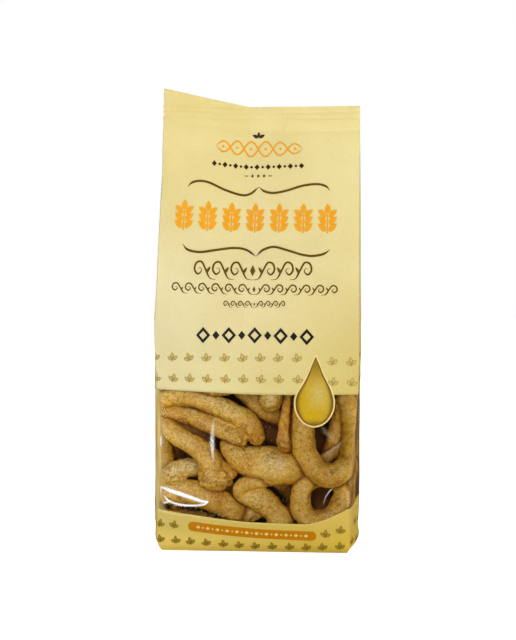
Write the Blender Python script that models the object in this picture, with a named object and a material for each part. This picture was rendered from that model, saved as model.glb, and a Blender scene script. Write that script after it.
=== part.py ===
"""A filled, sealed side-gusset film bag that stands on its folded base.

The bag is one closed solid: a loft of level sections that runs from a flat, rounded base through a
full belly, with a crowned front and back and side panels that bulge low down, up to side panels
tucked in as gussets and a flat top seal. The seal is a thin fin with a vertical valley crease; its
left wing leans forward, and its cut rises towards the left corner.

Metres, +Z up. The front panel faces -Y. The origin is on the middle of the underside of the base.
"""

import math

import bmesh
import bpy
import numpy as np

MM = 0.001

# Driving dimensions, in metres.
HEIGHT = 243.3 * MM  # top edge at the crease, above the base
GUSSET = 62.0 * MM  # flat width of a side panel, front crease to back crease
CREASE_X = -4.5 * MM  # where the top seal folds forward
CREASE_SOFT = 2.5 * MM  # rounding of that fold
CUT_RISE_LEFT = 5.2 * MM  # how far the cut rises from the crease to the left corner
CUT_RISE_RIGHT = -0.2 * MM  # and to the right corner
CUT_RISE_FROM = 200.0 * MM  # level where the rise begins
TUCK_FROM = 92.0 * MM  # the side panels begin to fold inwards at this level
TUCK_FULL = 150.0 * MM  # and keep their full flat width in the fold from this level up
TUCK_END_HALF_DEPTH = 4.0 * MM  # the tucked layers are pressed together below this half depth
CROWN_POWER = 2.4  # how flat a panel's middle is across its width
BULGE_POWER = 2.2  # the same for a side panel

# How the section changes with the level: (level, value) in millimetres, or degrees for the lean.
# Levels in between follow a monotone cubic.
HALF_WIDTH_RIGHT = (
    (0, 50.6), (3, 51.3), (8, 51.5), (20, 51.6), (40, 52.5), (60, 54.3),
    (80, 56.0), (110, 57.0), (150, 56.8), (200, 56.8), (245, 56.6),
)
HALF_WIDTH_LEFT = (
    (0, 50.6), (3, 52.0), (8, 52.6), (20, 52.4), (40, 51.8), (60, 51.4),
    (80, 51.8), (118, 53.5), (150, 52.3), (200, 53.0), (231, 54.9), (245, 54.9),
)
HALF_DEPTH = (
    (0, 25.5), (3, 28), (10, 30), (30, 31), (70, 31), (110, 30),
    (140, 27.5), (170, 20), (200, 10), (224, 2.2), (231, 0.7), (245, 0.6),
)
FRONT_CROWN = (
    (0, 0), (5, 1.5), (15, 4), (40, 7.5), (80, 9), (120, 7.5), (160, 4), (200, 1.2), (228, 0), (245, 0),
)
BACK_CROWN = (
    (0, 0), (5, 1.5), (15, 3.5), (40, 6), (80, 7), (120, 6), (160, 3), (200, 1), (228, 0), (245, 0),
)
SIDE_BULGE_RIGHT = ((0, 1.0), (4, 2.8), (10, 4.2), (20, 4.9), (35, 4.6), (62, 2.4), (85, 0.7), (110, 0), (245, 0))
SIDE_BULGE_LEFT = ((0, 1.0), (4, 2.8), (10, 4.0), (20, 4.8), (40, 5.6), (60, 5.8), (80, 5.4), (110, 2.6), (140, 0), (245, 0))
LEAN_LEFT = ((0, 0), (90, 0), (120, 4), (150, 10), (180, 17), (210, 23), (231, 27), (245, 28))
LEAN_RIGHT = ((0, 0), (140, 0), (200, 1), (231, 2), (245, 2))
LIFT_LEFT = ((0, 0), (120, 0), (160, 0.03), (200, 0.05), (231, 0.055), (245, 0.055))  # mm up per mm outwards

# Levels of the sections: close together at the base's rounding and at the seal.
BASE_LEVELS = (0.0, 1.2, 3.0, 6.0, 10.0, 15.0)
BELLY_STEP = 7.0
TOP_LEVELS = (200.0, 206.0, 212.0, 218.0, 222.0, 225.0, 228.0, 231.0, 235.0, 239.0, 243.3)

# Columns of the front and back panels, from the left corner at -1 to the right one at +1.
COLUMNS = (-1.0, -0.86, -0.68, -0.5, -0.34, -0.22, -0.135, -0.085, -0.035, 0.05, 0.18, 0.34, 0.5, 0.68, 0.86, 1.0)
SIDE_COLUMNS = (-0.75, -0.4, 0.0, 0.4, 0.75)

FILM_COLOR = (0.80, 0.68, 0.33, 1.0)
FILM_ROUGHNESS = 0.42


def ramp(table, level):
    """Monotone cubic through (level, value) pairs, at a level in metres."""
    xs = [float(x) * MM for x, _ in table]
    ys = [float(y) for _, y in table]
    steps = [b - a for a, b in zip(xs, xs[1:])]
    slopes = [(b - a) / s for a, b, s in zip(ys, ys[1:], steps)]
    tangents = [slopes[0]]
    for before, after, s0, s1 in zip(slopes, slopes[1:], steps, steps[1:]):
        if before * after <= 0:
            tangents.append(0.0)
        else:
            w0, w1 = 2 * s1 + s0, s1 + 2 * s0
            tangents.append((w0 + w1) / (w0 / before + w1 / after))
    tangents.append(slopes[-1])
    i = min(max(int(np.searchsorted(xs, level)) - 1, 0), len(steps) - 1)
    u = min(max((level - xs[i]) / steps[i], 0.0), 1.0)
    return (
        (2 * u**3 - 3 * u**2 + 1) * ys[i]
        + (u**3 - 2 * u**2 + u) * steps[i] * tangents[i]
        + (3 * u**2 - 2 * u**3) * ys[i + 1]
        + (u**3 - u**2) * steps[i] * tangents[i + 1]
    )


def cut_rise(x, level):
    """The slanted cut: the film's rows near the top rise towards the corners."""
    share = min(max((level - CUT_RISE_FROM) / (HEIGHT - CUT_RISE_FROM), 0.0), 1.0) ** 1.5
    left = max(CREASE_X - x, 0.0) / (54.9 * MM + CREASE_X)
    right = max(x - CREASE_X, 0.0) / (56.6 * MM - CREASE_X)
    return share * (CUT_RISE_LEFT * left + CUT_RISE_RIGHT * right)


def folded(x, y, level):
    """A point of the straight bag, moved by the lean of the two wings about the crease."""
    lean_left = math.radians(ramp(LEAN_LEFT, level))
    lean_right = math.radians(ramp(LEAN_RIGHT, level))
    z = level + cut_rise(x, level)
    out = CREASE_X - x
    root = math.hypot(out, CREASE_SOFT)
    soft_left = max((root + out - CREASE_SOFT) / 2, 0.0)
    soft_right = max((root - out - CREASE_SOFT) / 2, 0.0)
    return (
        CREASE_X - max(out, 0.0) * math.cos(lean_left) + max(-out, 0.0) * math.cos(lean_right),
        y - soft_left * math.sin(lean_left) - soft_right * math.sin(lean_right),
        z + ramp(LIFT_LEFT, level) * soft_left,
    )


def half_width(sign, level):
    return ramp(HALF_WIDTH_RIGHT if sign > 0 else HALF_WIDTH_LEFT, level) * MM


def panel_point(s, level, facing):
    """Front panel for facing -1, back panel for +1; s runs from the left corner to the right one."""
    crown = ramp(FRONT_CROWN if facing < 0 else BACK_CROWN, level) * MM
    depth = ramp(HALF_DEPTH, level) * MM + crown * (1 - abs(s) ** CROWN_POWER)
    return folded(s * half_width(s, level), facing * depth, level)


def tuck(level):
    """How far the middle of a side panel folds inwards, so that the panel keeps its flat width."""
    depth = min(ramp(HALF_DEPTH, level) * MM, GUSSET / 2)
    start = min(max((level - TUCK_FROM) / (TUCK_FULL - TUCK_FROM), 0.0), 1.0)
    end = min(max((depth - TUCK_END_HALF_DEPTH) / (10 * MM), 0.0), 1.0)
    return math.sqrt((GUSSET / 2) ** 2 - depth**2) * start**2 * (3 - 2 * start) * end


def side_point(q, level, sign):
    """Right side panel for sign +1, left for -1; q runs from the front crease to the back one."""
    bulge = ramp(SIDE_BULGE_RIGHT if sign > 0 else SIDE_BULGE_LEFT, level) * MM
    x = half_width(sign, level) - tuck(level) * (1 - abs(q)) + bulge * (1 - abs(q) ** BULGE_POWER)
    return folded(sign * x, q * ramp(HALF_DEPTH, level) * MM, level)


def section(level):
    """One closed section, counterclockwise seen from above: front, right side, back, left side."""
    return (
        [panel_point(s, level, -1) for s in COLUMNS]
        + [side_point(q, level, 1) for q in SIDE_COLUMNS]
        + [panel_point(s, level, 1) for s in reversed(COLUMNS)]
        + [side_point(-q, level, -1) for q in SIDE_COLUMNS]
    )


def levels():
    belly_end = TOP_LEVELS[0]
    start = BASE_LEVELS[-1]
    count = round((belly_end - start) / BELLY_STEP)
    belly = [start + (belly_end - start) * i / count for i in range(1, count)]
    return [level * MM for level in (*BASE_LEVELS, *belly, *TOP_LEVELS)]


def bag_mesh():
    work = bmesh.new()
    rings = [[work.verts.new(point) for point in section(level)] for level in levels()]
    size = len(rings[0])
    for low, high in zip(rings, rings[1:]):
        for i in range(size):
            j = (i + 1) % size
            work.faces.new((low[i], low[j], high[j], high[i]))
    n, m = len(COLUMNS), len(SIDE_COLUMNS)
    work.faces.new(list(reversed(rings[0])))  # the flat base
    top = rings[-1]
    front, right, back, left = top[:n], top[n : n + m], top[n + m : 2 * n + m], top[2 * n + m :]
    for i in range(n - 1):  # the cut edge of the seal, between the front and the back film
        work.faces.new((front[i], front[i + 1], back[n - 2 - i], back[n - 1 - i]))
    work.faces.new([front[-1], *right, back[0]])
    work.faces.new([back[-1], *left, front[0]])
    bmesh.ops.recalc_face_normals(work, faces=work.faces)
    mesh = bpy.data.meshes.new("filled_bag")
    work.to_mesh(mesh)
    work.free()
    return mesh


def film_material():
    material = bpy.data.materials.new("printed_film")
    material.use_nodes = True
    shader = material.node_tree.nodes["Principled BSDF"]
    shader.inputs["Base Color"].default_value = FILM_COLOR
    shader.inputs["Roughness"].default_value = FILM_ROUGHNESS
    shader.inputs["Metallic"].default_value = 0.0
    return material


def main():
    for obj in list(bpy.data.objects):
        bpy.data.objects.remove(obj, do_unlink=True)
    parts = bpy.data.collections.new("biscuit_bag")
    bpy.context.scene.collection.children.link(parts)
    bag = bpy.data.objects.new("filled_bag", bag_mesh())
    bag.data.shade_smooth()
    bag.data.set_sharp_from_angle(angle=math.radians(40))
    bag.data.materials.append(film_material())
    parts.objects.link(bag)


main()
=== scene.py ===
"""Looks of the filled film bag: printed and clear film, its print, and the ring biscuits inside.

Lengths are in millimetres in this script and become metres when a mesh is made. Film points are
given by panel, by u across the panel and by t, the level before the folds lift it.
"""

import math

import bpy
import numpy as np
from mathutils import Matrix, Vector


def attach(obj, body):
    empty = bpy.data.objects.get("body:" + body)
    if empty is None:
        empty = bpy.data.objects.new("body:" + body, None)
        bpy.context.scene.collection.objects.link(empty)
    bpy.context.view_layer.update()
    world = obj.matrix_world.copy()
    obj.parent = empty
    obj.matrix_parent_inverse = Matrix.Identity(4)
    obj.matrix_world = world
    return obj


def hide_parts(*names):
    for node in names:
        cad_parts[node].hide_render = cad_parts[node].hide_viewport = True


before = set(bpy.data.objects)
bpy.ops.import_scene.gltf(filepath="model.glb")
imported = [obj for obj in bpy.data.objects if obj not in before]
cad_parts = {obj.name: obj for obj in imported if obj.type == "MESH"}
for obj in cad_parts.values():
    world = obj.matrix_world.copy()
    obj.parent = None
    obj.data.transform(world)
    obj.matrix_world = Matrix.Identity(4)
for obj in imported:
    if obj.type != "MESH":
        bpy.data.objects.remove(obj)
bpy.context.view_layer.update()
MM = 0.001
rng = np.random.default_rng(11)

# ---------------------------------------------------------------- film shape, as in the CAD
HEIGHT = 243.3
GUSSET = 62.0
CREASE_X = -4.5
CREASE_SOFT = 2.5
CUT_RISE_LEFT = 5.2
CUT_RISE_RIGHT = -0.2
CUT_RISE_FROM = 200.0
TUCK_FROM = 92.0
TUCK_FULL = 150.0
TUCK_END_HALF_DEPTH = 2.0
CROWN_POWER = 2.4
BULGE_POWER = 2.2
HALF_WIDTH_RIGHT = (
    (0, 50.6), (3, 51.3), (8, 51.5), (20, 51.6), (40, 52.5), (60, 54.3),
    (80, 56.0), (110, 57.0), (150, 56.8), (200, 56.8), (245, 56.6),
)
HALF_WIDTH_LEFT = (
    (0, 50.6), (3, 52.0), (8, 52.6), (20, 52.4), (40, 51.8), (60, 51.4),
    (80, 51.8), (118, 53.5), (150, 52.3), (200, 53.0), (231, 54.9), (245, 54.9),
)
HALF_DEPTH = (
    (0, 25.5), (3, 28), (10, 30), (30, 31), (70, 31), (110, 30),
    (140, 27.5), (170, 20), (200, 10), (224, 2.0), (231, 0.42), (245, 0.36),
)
FRONT_CROWN = (
    (0, 0), (5, 1.5), (15, 4), (40, 7.5), (80, 9), (120, 7.5), (160, 4), (200, 1.2), (228, 0), (245, 0),
)
BACK_CROWN = (
    (0, 0), (5, 1.5), (15, 3.5), (40, 6), (80, 7), (120, 6), (160, 3), (200, 1), (228, 0), (245, 0),
)
SIDE_BULGE_RIGHT = ((0, 1.0), (4, 2.8), (10, 4.2), (20, 4.9), (35, 4.6), (62, 2.4), (85, 0.7), (110, 0), (245, 0))
SIDE_BULGE_LEFT = (
    (0, 1.0), (4, 2.8), (10, 4.0), (20, 4.8), (40, 5.6), (60, 5.8), (80, 5.4), (110, 2.6), (140, 0), (245, 0),
)
LEAN_LEFT = ((0, 0), (90, 0), (120, 4), (150, 10), (180, 17), (210, 23), (231, 27), (245, 28))
LEAN_RIGHT = ((0, 0), (140, 0), (200, 1), (231, 2), (245, 2))
LIFT_LEFT = ((0, 0), (120, 0), (160, 0.03), (200, 0.05), (231, 0.055), (245, 0.055))


def ramp(table, x):
    """Monotone cubic through the pairs of a table."""
    xs, ys = np.array(table, float).T
    h = np.diff(xs)
    d = np.diff(ys) / h
    m = np.empty(len(xs))
    m[0], m[-1] = d[0], d[-1]
    for i in range(1, len(xs) - 1):
        if d[i - 1] * d[i] <= 0:
            m[i] = 0
        else:
            w0, w1 = 2 * h[i] + h[i - 1], h[i] + 2 * h[i - 1]
            m[i] = (w0 + w1) / (w0 / d[i - 1] + w1 / d[i])
    x = np.asarray(x, float)
    k = np.clip(np.searchsorted(xs, x) - 1, 0, len(h) - 1)
    u = np.clip((x - xs[k]) / h[k], 0, 1)
    return (
        (2 * u**3 - 3 * u**2 + 1) * ys[k]
        + (u**3 - 2 * u**2 + u) * h[k] * m[k]
        + (3 * u**2 - 2 * u**3) * ys[k + 1]
        + (u**3 - u**2) * h[k] * m[k + 1]
    )


def smooth(x, a, b):
    u = np.clip((np.asarray(x, float) - a) / (b - a), 0, 1)
    return u * u * (3 - 2 * u)


def folded(x, y, t):
    lean_left, lean_right = np.radians(ramp(LEAN_LEFT, t)), np.radians(ramp(LEAN_RIGHT, t))
    share = np.clip((t - CUT_RISE_FROM) / (HEIGHT - CUT_RISE_FROM), 0, None) ** 1.5
    z = t + share * (
        CUT_RISE_LEFT * np.maximum(CREASE_X - x, 0) / (54.9 + CREASE_X)
        + CUT_RISE_RIGHT * np.maximum(x - CREASE_X, 0) / (56.6 - CREASE_X)
    )
    out = CREASE_X - x
    root = np.hypot(out, CREASE_SOFT)
    soft_left = np.maximum((root + out - CREASE_SOFT) / 2, 0)
    soft_right = np.maximum((root - out - CREASE_SOFT) / 2, 0)
    return np.stack(
        [
            CREASE_X - np.maximum(out, 0) * np.cos(lean_left) + np.maximum(-out, 0) * np.cos(lean_right),
            y - soft_left * np.sin(lean_left) - soft_right * np.sin(lean_right),
            z + ramp(LIFT_LEFT, t) * soft_left,
        ],
        -1,
    )


def half_width(sign, t):
    return np.where(sign > 0, ramp(HALF_WIDTH_RIGHT, t), ramp(HALF_WIDTH_LEFT, t))


def tuck(t):
    depth = np.minimum(ramp(HALF_DEPTH, t), GUSSET / 2)
    start = np.clip((t - TUCK_FROM) / (TUCK_FULL - TUCK_FROM), 0, 1)
    end = np.clip((depth - TUCK_END_HALF_DEPTH) / 8, 0, 1)
    return np.sqrt((GUSSET / 2) ** 2 - depth**2) * start**2 * (3 - 2 * start) * end


def bag_point(panel, u, t):
    """Point of the plain bag. u is x on the front and back, and the way from the middle of a side."""
    u, t = np.broadcast_arrays(np.asarray(u, float), np.asarray(t, float))
    if panel in ("front", "back"):
        s = np.clip(np.abs(u) / half_width(np.sign(u), t), 0, 1)
        crown = ramp(FRONT_CROWN if panel == "front" else BACK_CROWN, t)
        y = ramp(HALF_DEPTH, t) + crown * (1 - s**CROWN_POWER)
        return folded(u, -y if panel == "front" else y, t)
    sign = 1 if panel == "right" else -1
    depth = ramp(HALF_DEPTH, t)
    q = np.clip(u / depth, -1, 1)
    bulge = ramp(SIDE_BULGE_RIGHT if sign > 0 else SIDE_BULGE_LEFT, t)
    x = half_width(sign, t) - tuck(t) * (1 - np.abs(q)) + bulge * (1 - np.abs(q) ** BULGE_POWER)
    return folded(sign * x, q * depth, t)


OUTWARD = {"front": 1, "right": 1, "back": -1, "left": -1}


def bag_normal(panel, u, t):
    e = 0.15
    du = bag_point(panel, u + e, t) - bag_point(panel, u - e, t)
    dt = bag_point(panel, u, t + e) - bag_point(panel, u, t - e)
    n = np.cross(du, dt) * OUTWARD[panel]
    return n / np.maximum(np.linalg.norm(n, axis=-1, keepdims=True), 1e-9)


def noise3(p, seed=0):
    """Gradient noise, about -1 to 1, one lattice cell per unit."""
    p = np.asarray(p, float)
    i = np.floor(p).astype(np.int64)
    f = p - i
    w = f * f * f * (f * (f * 6 - 15) + 10)
    total = np.zeros(p.shape[:-1])
    for dx in (0, 1):
        for dy in (0, 1):
            for dz in (0, 1):
                h = (i[..., 0] + dx) * 73856093 ^ (i[..., 1] + dy) * 19349663 ^ (i[..., 2] + dz) * 83492791
                h = (h ^ (seed * 9176263 + 77)) & 0xFFFFFFFF
                h = (((h >> 15) ^ h) * 739982445) & 0xFFFFFFFF
                h = (((h >> 13) ^ h) * 695872825) & 0xFFFFFFFF
                h = (h >> 12) ^ h
                g = (
                    ((h & 1023) / 511.5 - 1) * (f[..., 0] - dx)
                    + (((h >> 10) & 1023) / 511.5 - 1) * (f[..., 1] - dy)
                    + (((h >> 20) & 1023) / 511.5 - 1) * (f[..., 2] - dz)
                )
                total += (
                    g
                    * (w[..., 0] if dx else 1 - w[..., 0])
                    * (w[..., 1] if dy else 1 - w[..., 1])
                    * (w[..., 2] if dz else 1 - w[..., 2])
                )
    return total * 1.4


def cells3(p, seed=0):
    """Distances to the nearest and the second nearest of scattered points, one per unit cell."""
    p = np.asarray(p, float)
    base = np.floor(p).astype(np.int64)
    near, next_near = np.full(p.shape[:-1], 9.0), np.full(p.shape[:-1], 9.0)
    for dx in (-1, 0, 1):
        for dy in (-1, 0, 1):
            for dz in (-1, 0, 1):
                i = base + (dx, dy, dz)
                h = (i[..., 0] * 73856093 ^ i[..., 1] * 19349663 ^ i[..., 2] * 83492791) + seed * 9176263 & 0xFFFFFFFF
                h = (((h >> 15) ^ h) * 739982445) & 0xFFFFFFFF
                h = (((h >> 13) ^ h) * 695872825) & 0xFFFFFFFF
                h = (h >> 12) ^ h
                spot = i + np.stack([(h & 1023), (h >> 10) & 1023, (h >> 20) & 1023], -1) / 1023
                d = np.linalg.norm(p - spot, axis=-1)
                next_near = np.where(d < near, near, np.minimum(next_near, d))
                near = np.minimum(near, d)
    return near, next_near


# ---------------------------------------------------------------- camera
EYE = np.array([69.7, -797.0, 150.0])
AIM = np.array([0.0, 0.0, 125.0])
PIXELS = 80.66 / 36 * 640  # pixels of the frame per unit of slope
AHEAD = (AIM - EYE) / np.linalg.norm(AIM - EYE)
ACROSS = np.cross(AHEAD, (0, 0, 1.0)) / np.linalg.norm(np.cross(AHEAD, (0, 0, 1.0)))
UPWARD = np.cross(ACROSS, AHEAD)


def seen_at(p):
    """Where a point is in the 516 x 640 frame."""
    q = np.asarray(p, float) - EYE
    d = q @ AHEAD
    return np.stack([258 + PIXELS * (q @ ACROSS) / d, 320 - PIXELS * (q @ UPWARD) / d], -1)


def film_at(px, py):
    """Front panel's u and t under a place in the frame, by Newton's method."""
    u, t = (px - 258) * 0.535, float(np.clip((552 - py) * 0.55, 1, 242))
    for _ in range(30):
        here = seen_at(bag_point("front", u, t))
        miss = np.array([px, py]) - here
        if np.abs(miss).max() < 0.01:
            break
        slope = np.stack(
            [
                (seen_at(bag_point("front", u + 0.1, t)) - here) / 0.1,
                (seen_at(bag_point("front", u, t + 0.1)) - here) / 0.1,
            ],
            -1,
        )
        du, dt = np.linalg.solve(slope, miss)
        u += float(np.clip(du, -6, 6))
        t = float(np.clip(t + np.clip(dt, -6, 6), 0, 245))
    return u, t


def behind(px, py, depth):
    """Point at a depth behind the front film, on the line of sight."""
    p = bag_point("front", *film_at(px, py))
    ray = (p - EYE) / np.linalg.norm(p - EYE)
    return p + ray * depth


# ---------------------------------------------------------------- relief of the film
CRIMPS = ((241.5, 1.0), (238.7, 1.0), (235.6, 1.0))


def ridge(u, t, line, width, height, taper=4.0):
    """A soft ridge along a polyline of film points; it fades out at both ends."""
    line = np.array(line, float)
    steps = np.linalg.norm(np.diff(line, axis=0), axis=1)
    total = steps.sum()
    best = np.full(np.shape(u), 1e9)
    along = np.zeros(np.shape(u))
    start = 0.0
    for a, b, length in zip(line, line[1:], steps):
        k = np.clip(((u - a[0]) * (b[0] - a[0]) + (t - a[1]) * (b[1] - a[1])) / length**2, 0, 1)
        d = np.hypot(u - a[0] - k * (b[0] - a[0]), t - a[1] - k * (b[1] - a[1]))
        along = np.where(d < best, start + k * length, along)
        best = np.minimum(best, d)
        start += length
    ends = smooth(along, 0, taper) * smooth(total - along, 0, taper)
    return height * ends * np.exp(-((best / width) ** 2))


def seen_line(*places):
    return [film_at(px, py) for px, py in places]


def stroke_share(u, t, places):
    """Cover of a soft stroke along places in the frame: (px, py, half width in px, amount)."""
    line = np.array(seen_line(*[place[:2] for place in places]))
    best = np.zeros(np.shape(u))
    for a, b, (_, _, wide_a, much_a), (_, _, wide_b, much_b) in zip(line, line[1:], places, places[1:]):
        k = np.clip(((u - a[0]) * (b[0] - a[0]) + (t - a[1]) * (b[1] - a[1])) / ((b - a) ** 2).sum(), 0, 1)
        d = np.hypot(u - a[0] - k * (b[0] - a[0]), t - a[1] - k * (b[1] - a[1]))
        wide = (wide_a + k * (wide_b - wide_a)) * 0.535
        best = np.maximum(best, (much_a + k * (much_b - much_a)) * np.exp(-((d / wide) ** 3)))
    return best


# Painted highlights on the clear film: white glints and streaks that stand for light reflected by its creases, (px, py,
# half width in px, amount).
PAINTED_HIGHLIGHTS = [
    ((213.8, 417, 1.0, 0.0), (213.4, 424, 1.5, 0.30), (212.4, 433, 2.0, 0.52), (212.0, 443, 2.5, 0.78), (212.4, 449, 2.2, 0.74), (213.2, 457, 1.1, 0.50), (213.4, 465, 0.8, 0.26), (213.6, 471, 0.6, 0.0)),
    ((161.0, 487.2, 1.0, 0.8), (165, 488.2, 1.4, 0.95), (171, 490.8, 2.1, 0.97), (181, 493.9, 2.0, 0.97), (191, 497.4, 1.7, 0.97), (201, 500.8, 1.5, 0.97), (207.3, 502.0, 1.2, 0.95)),
    ((207.6, 501.8, 1.1, 0.95), (204.5, 504.2, 1.0, 0.95), (196, 505.3, 1.0, 0.95), (187, 505.5, 1.0, 0.95), (178, 504.2, 1.0, 0.95), (171.5, 502.4, 1.0, 0.92), (167.5, 500.0, 1.2, 0.95), (164.8, 496.4, 0.9, 0.8)),
    ((169.5, 501.4, 0.9, 0.9), (166.2, 502.2, 0.9, 0.9), (163.2, 502.8, 0.8, 0.75)),
    ((161.2, 487.5, 0.8, 0.8), (160.6, 491.5, 0.7, 0.55), (161.2, 497.0, 0.6, 0.25)),
    ((161.2, 434, 0.6, 0.0), (161.0, 438, 0.9, 0.75), (161.0, 444, 0.9, 0.7), (161.3, 448, 0.6, 0.0)),
    ((334.5, 486.5, 0.5, 0.12), (330, 490.5, 0.7, 0.34), (326, 496, 0.7, 0.32), (323.8, 502, 0.6, 0.2), (323.4, 506, 0.5, 0.0)),
    ((347, 438, 0.8, 0.0), (338, 446, 1.8, 0.15), (328, 453, 2.0, 0.14), (318, 458, 1.0, 0.0)),
    ((319, 423, 0.8, 0.0), (325, 431, 2.2, 0.12), (332, 438, 2.6, 0.13), (340, 446, 1.2, 0.0)),
    ((330, 418, 0.6, 0.0), (335, 428, 1.6, 0.09), (338, 438, 1.2, 0.0)),
]

# Wrinkles of the front film: line, width, height. Where the photo shows a bright streak, the side of a wrinkle faces the light.
WINDOW_WRINKLES = [
    (seen_line((215.0, 424), (214.6, 440), (214.6, 468)), 1.5, 0.54, 9),
    (seen_line((158, 489.5), (166, 491.5), (175, 495), (188, 499), (208, 505.5)), 1.9, 0.86, 4),
    (seen_line((211, 502.5), (197, 507), (180, 507), (162, 503.5)), 1.15, 0.58, 3),
    (seen_line((161, 494), (165.5, 498.5), (171, 504.5)), 0.9, 0.40, 2),
    (seen_line((162, 432), (161.5, 440), (161, 450)), 1.0, 0.20, 3),
    (seen_line((335, 485), (327, 494), (322.5, 505)), 1.0, 0.34, 4),
    (seen_line((346, 436), (332, 447), (322, 458)), 1.6, 0.16, 5),
    (seen_line((350, 470), (352, 485), (351, 505)), 1.8, 0.22, 5),
    (seen_line((300, 400), (296, 430), (293, 470)), 5.0, 0.20, 12),
]
PRINT_WRINKLES = [
    (((-53, 118), (-49, 140), (-50, 165)), 3.0, 0.30, 12),
    (((-52, 180), (-49, 200), (-50, 222)), 3.5, 0.28, 12),
    (((54, 205), (50.5, 188), (51.5, 168)), 2.4, 0.35, 10),
    (((53, 165), (50, 150), (52, 132)), 2.2, 0.28, 10),
    (((46, 224), (44, 206), (47, 186)), 3.5, 0.25, 12),
    (((-30, 224), (-27, 205), (-31, 180)), 5.0, 0.22, 16),
    (((20, 226), (23, 205), (18, 176)), 6.0, 0.22, 16),
    (((-20, 128), (-3, 124), (14, 129)), 5.5, 0.16, 12),
    (((30, 150), (40, 140), (48, 128)), 4.5, 0.20, 10),
    (((-44, 104), (-30, 98), (-12, 99)), 4.0, 0.15, 10),
]


def relief(panel, u, t, p):
    """How far the film stands off the plain bag, outwards."""
    calm = 1 - 0.85 * smooth(t, 221, 230)
    in_window = smooth(t, 14, 26) * (1 - smooth(t, 84, 92))
    ground = smooth(t, 0, 10)
    out = (0.42 * noise3(p / 36, 3) + 0.16 * noise3(p / (14, 14, 24), 5)) * calm * ground * (1 - 0.35 * in_window)
    if panel in ("left", "right"):
        out = out * (1 - smooth(t, 190, 222))
        across = np.clip(np.abs(u) / ramp(HALF_DEPTH, t), 0, 1)
        out = out + (1.7 if panel == "right" else 0.9) * np.exp(-(((t - 5.5) / 4.2) ** 2)) * smooth(t, 0, 2.5) * (1 - across**2)
    if panel in ("front", "back"):
        out = out * (1 - 0.6 * smooth(np.abs(u) / half_width(np.sign(u), t), 0.94, 1.0))
        seal = smooth(t, 229, 231)
        level = p[..., 2]
        far_left = smooth(CREASE_X - u, 2, 9)
        far_right = smooth(u, 13, 20)
        for n, (at, deep) in enumerate(CRIMPS):
            side_share = far_left + far_right * (0.9 if n else 0.25)
            out = out - 0.30 * deep * seal * (0.22 + 0.78 * side_share) * np.exp(-(((level - at) / 0.55) ** 2))
            out = out + 0.12 * deep * seal * (0.22 + 0.78 * side_share) * np.exp(-(((level - at - 1.25) / 0.6) ** 2))
        out = out - 0.22 * np.exp(-(((t - 229.6) / 0.8) ** 2))
        strip = smooth(t, 226, 233) * (0.30 * np.exp(-(((u - 14.3) / 0.55) ** 2)) + 0.13 * smooth(u, 1.5, 2.6) * (1 - smooth(u, 14.2, 14.9)))
        out = out + (strip if panel == "front" else 0)
    if panel == "front":
        for line, width, height, taper in WINDOW_WRINKLES + PRINT_WRINKLES:
            out = out + ridge(u, t, line, width, height, taper)
        stamp = np.zeros(np.shape(out))
        for du, dt in ((0, 0), (1.5, 1.1), (3.1, 0.2), (4.4, 1.2), (0.7, 2.4), (2.6, 2.6), (4.2, 2.9)):
            stamp = np.maximum(stamp, np.exp(-(((u - 16.6 - du) / 0.5) ** 2) - ((t - 234.6 - dt) / 0.42) ** 2))
        out = out + 0.16 * stamp
    return out


def film(panel, u, t, lift=0.0):
    p = bag_point(panel, u, t)
    return p + bag_normal(panel, u, t) * (relief(panel, u, t, p) + lift)[..., None]


# ---------------------------------------------------------------- materials
def linear(*rgb):
    return tuple((c / 12.92 if c <= 0.04045 else ((c + 0.055) / 1.055) ** 2.4) for c in (v / 255 for v in rgb)) + (1.0,)


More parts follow.
